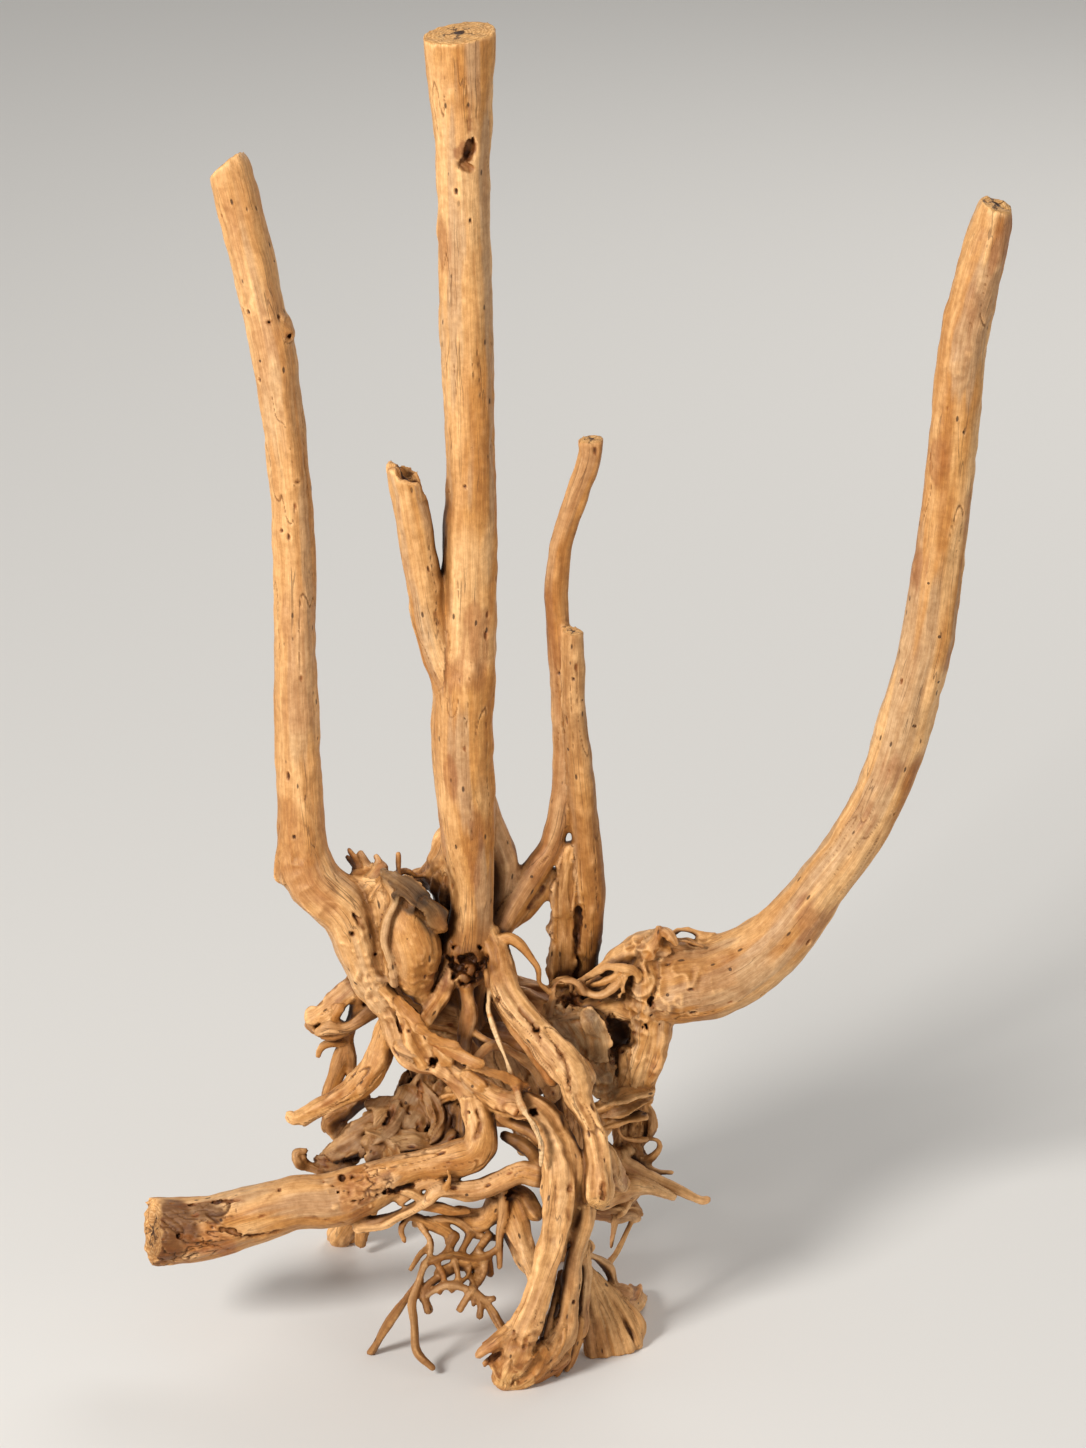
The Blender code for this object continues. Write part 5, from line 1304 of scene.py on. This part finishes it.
def wood_material():
    """Fibres, pits, hairline cracks and year rings over the colour painted on the vertices, with its painted
    highlights and shade.
    """
    material = bpy.data.materials.new("weathered_wood")
    nodes = Nodes(material)
    grain = nodes.attribute("grain").outputs["Vector"]
    tint = nodes.attribute("colour_and_painted_light").outputs["Color"]
    sawn = nodes.attribute("sawn").outputs["Fac"]
    spot = nodes.new("ShaderNodeTexCoord").outputs["Object"]
    spot = nodes.stretch(spot, (1.0 / MM, 1.0 / MM, 1.0 / MM))

    fibre = nodes.noise(nodes.stretch(grain, (0.55, 0.55, 0.022)), detail=6.0, roughness=0.62,
                        distortion=0.25)
    thread = nodes.noise(nodes.stretch(grain, (2.4, 2.4, 0.11)), detail=3.0, roughness=0.6)
    mottle = nodes.noise(spot, scale=0.28, detail=5.0, roughness=0.65)
    colour = nodes.shade(tint, fibre, 0.36, 0.7, (0.86, 0.78, 0.68), (1.08, 1.08, 1.06))
    colour = nodes.shade(colour, thread, 0.3, 0.72, (0.86, 0.82, 0.77), (1.08, 1.07, 1.05))
    colour = nodes.shade(colour, mottle, 0.32, 0.66, (0.84, 0.78, 0.7), (1.06, 1.05, 1.03))

    pits = pit_mask(nodes, grain, spot)
    colour = nodes.mix(nodes.math("MULTIPLY", pits, 0.85), colour, PIT_COLOUR)
    splits = split_mask(nodes, grain)
    colour = nodes.mix(nodes.math("MULTIPLY", splits, 0.5), colour, SPLIT_COLOUR)

    rings, rays = sawn_pattern(nodes, grain)
    face = nodes.shade(colour, rings, 0.2, 0.8, (0.8, 0.7, 0.58), (1.04, 1.02, 1.0))
    face = nodes.mix(rays, face, RAY_COLOUR)
    colour = nodes.mix(sawn, colour, face)

    height = nodes.math("MULTIPLY", fibre, 0.55)
    cuts = nodes.math("MULTIPLY", rays, sawn)
    for pattern, lift in ((thread, 0.22), (mottle, 0.35), (pits, -1.0), (splits, -0.5), (cuts, -1.2)):
        height = nodes.math("MULTIPLY_ADD", pattern, lift, height)
    bump = nodes.new("ShaderNodeBump", {"Height": height, "Strength": 0.7, "Distance": 0.0009})

    roughness = nodes.ramp(fibre, 0.3, 0.75, 0.62, 0.44)
    roughness = nodes.math("MULTIPLY_ADD", sawn, 0.2, roughness)
    shader = nodes.new("ShaderNodeBsdfPrincipled", {"Base Color": colour, "Roughness": roughness,
                                                    "Normal": bump.outputs["Normal"]})
    shader.inputs["Specular IOR Level"].default_value = 0.32
    output = nodes.new("ShaderNodeOutputMaterial")
    nodes.tree.links.new(shader.outputs["BSDF"], output.inputs["Surface"])
    material.diffuse_color = (*GOLD, 1.0)
    return material


def pit_mask(nodes, grain, spot):
    """Short dark pits along the grain, and round holes that beetles left."""
    away, chances = nodes.cells(nodes.stretch(grain, (0.19, 0.19, 0.075)))
    slits = nodes.math("MULTIPLY", nodes.ramp(away, 0.15, 0.07), nodes.ramp(chances[0], 0.55, 0.62))
    away, chances = nodes.cells(spot, 0.062)
    holes = nodes.math("MULTIPLY", nodes.ramp(away, 0.062, 0.042), nodes.ramp(chances[1], 0.5, 0.52))
    return nodes.math("MAXIMUM", slits, holes)


def split_mask(nodes, grain):
    """Hairline drying cracks along the grain."""
    wave = nodes.noise(nodes.stretch(grain, (0.2, 0.2, 0.012)), detail=2.0, roughness=0.5)
    line = nodes.math("ABSOLUTE", nodes.math("SUBTRACT", wave, 0.5))
    where = nodes.noise(nodes.stretch(grain, (0.07, 0.07, 0.02)), detail=1.0)
    return nodes.math("MULTIPLY", nodes.ramp(line, 0.012, 0.003), nodes.ramp(where, 0.5, 0.62))


def sawn_pattern(nodes, grain):
    """Year rings round the pith, a dark star in it and cracks that run out from it."""
    parts = nodes.new("ShaderNodeSeparateXYZ", {"Vector": grain})
    x, y = parts.outputs["X"], parts.outputs["Y"]
    wobble = nodes.noise(nodes.stretch(grain, (0.22, 0.22, 0.0)), detail=3.0)
    square = nodes.math("ADD", nodes.math("MULTIPLY", x, x), nodes.math("MULTIPLY", y, y))
    radius = nodes.math("SQRT", square)
    wavy = nodes.math("MULTIPLY_ADD", wobble, 5.0, radius)
    rings = nodes.math("MULTIPLY_ADD", nodes.math("SINE", nodes.math("MULTIPLY", wavy, 3.4)), 0.5, 0.5)
    angle = nodes.math("ARCTAN2", y, x)
    crooked = nodes.math("MULTIPLY_ADD", wobble, 1.6, angle)
    spokes = nodes.math("ABSOLUTE", nodes.math("SINE", nodes.math("MULTIPLY", crooked, 2.5)))
    width = nodes.ramp(radius, 1.0, 14.0, 0.34, 0.02)
    thin = nodes.math("LESS_THAN", spokes, width)
    pith = nodes.ramp(nodes.math("MULTIPLY_ADD", wobble, -3.0, radius), 1.8, 0.6)
    inner = nodes.ramp(radius, 12.0, 9.0)
    rays = nodes.math("MULTIPLY", thin, nodes.math("MULTIPLY", inner, 0.75))
    return rings, nodes.math("MAXIMUM", rays, pith)


# ------------------------------------------------------------------ pieces

def add_attribute(mesh, name, kind, values):
    attribute = mesh.attributes.new(name, kind, "POINT")
    field = {"FLOAT": "value", "FLOAT_VECTOR": "vector", "FLOAT_COLOR": "color"}[kind]
    attribute.data.foreach_set(field, np.ascontiguousarray(values, dtype=np.float32).ravel())


def root_skin():
    """The one piece: grown, carved, meshed, roughened and painted."""
    field = Field()
    strands = grow_strands()
    for number, strand in enumerate(strands):
        field.add(strand, number)
    for name, points in CARVES.items():
        field.carve(Strand(name, points, "bark"))
    field.trim()
    skin = Skin(field, strands)
    skin.roughen()
    colour, sawn = paint(skin)
    mesh = bpy.data.meshes.new("root_wood_skin")
    mesh.from_pydata(skin.points * MM, [], skin.faces.tolist())
    mesh.shade_smooth()
    add_attribute(mesh, "grain", "FLOAT_VECTOR", skin.grain)
    add_attribute(mesh, "sawn", "FLOAT", sawn)
    add_attribute(mesh, "colour_and_painted_light", "FLOAT_COLOR", np.column_stack([colour, np.ones(len(colour))]))
    root = bpy.data.objects.new("root_wood_skin", mesh)
    bpy.context.scene.collection.objects.link(root)
    root.data.materials.append(wood_material())
    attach(root, "root")
    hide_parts("root_wood")


# ------------------------------------------------------------------ studio

FLOOR_SIZE = 40.0                       # metres
FLOOR_COLOUR = (0.74, 0.73, 0.71, 1.0)
SKY_COLOUR = (0.97, 0.95, 0.92, 1.0)
SKY_STRENGTH = 0.36
VIEW_DISTANCE = 3.0
VIEW_ELEVATION = math.radians(20.0)
VIEW_HEIGHT = 0.724                     # metres of the scene that the frame shows at the root
AIM = (-0.012, 0.005, 0.322)
LIT_PLACE = (0.0, 0.0, 0.3)
# Soft round lamps: name, place and size in metres, power in watts, colour.
LAMPS = (
    ("key", (-1.7, -2.0, 1.7), 0.8, 92.0, (1.0, 0.97, 0.93)),
    ("fill", (2.2, -1.8, 0.7), 1.8, 14.0, (1.0, 0.97, 0.93)),
    ("back", (0.9, 2.2, 1.9), 1.6, 24.0, (1.0, 0.98, 0.95)),
)


def look_along(direction):
    """The rotation that turns a camera or lamp along a direction, upright."""
    x, y, z = direction / np.linalg.norm(direction)
    return math.acos(-z), 0.0, math.atan2(y, x) - math.pi / 2


def camera():
    """The photo's view: straight from the front and 20 degrees down."""
    lens = bpy.data.cameras.new("camera")
    lens.sensor_fit = "VERTICAL"
    lens.sensor_height = 24.0
    lens.lens = lens.sensor_height * VIEW_DISTANCE / VIEW_HEIGHT
    lens.clip_end = 100.0
    eye = bpy.data.objects.new("camera", lens)
    toward = np.array((0.0, math.cos(VIEW_ELEVATION), -math.sin(VIEW_ELEVATION)))
    eye.location = np.array(AIM) - toward * VIEW_DISTANCE
    eye.rotation_euler = look_along(toward)
    bpy.context.scene.collection.objects.link(eye)
    bpy.context.scene.camera = eye


def studio():
    """The lamps, and a pale sky that lights all sides a little."""
    for name, place, size, power, colour in LAMPS:
        lamp = bpy.data.lights.new(name, "AREA")
        lamp.shape = "DISK"
        lamp.size = size
        lamp.energy = power
        lamp.color = colour
        light = bpy.data.objects.new(name, lamp)
        light.location = place
        away = np.array(place) - np.array(LIT_PLACE)
        light.rotation_euler = look_along(-away)
        bpy.context.scene.collection.objects.link(light)
    world = bpy.data.worlds.new("studio")
    world.use_nodes = True
    world.node_tree.nodes["Background"].inputs["Color"].default_value = SKY_COLOUR
    world.node_tree.nodes["Background"].inputs["Strength"].default_value = SKY_STRENGTH
    bpy.context.scene.world = world
    bpy.context.scene.view_settings.view_transform = "Standard"


def floor():
    """The plain pale floor under the toes."""
    material = bpy.data.materials.new("studio_floor")
    material.use_nodes = True
    shader = material.node_tree.nodes["Principled BSDF"]
    shader.inputs["Base Color"].default_value = FLOOR_COLOUR
    shader.inputs["Roughness"].default_value = 0.9
    mesh = bpy.data.meshes.new("studio_floor")
    half = FLOOR_SIZE / 2
    mesh.from_pydata([(-half, -half, 0), (half, -half, 0), (half, half, 0), (-half, half, 0)], [],
                     [(0, 1, 2, 3)])
    plane = bpy.data.objects.new("studio_floor", mesh)
    plane.data.materials.append(material)
    bpy.context.scene.collection.objects.link(plane)


camera()
studio()
floor()
root_skin()
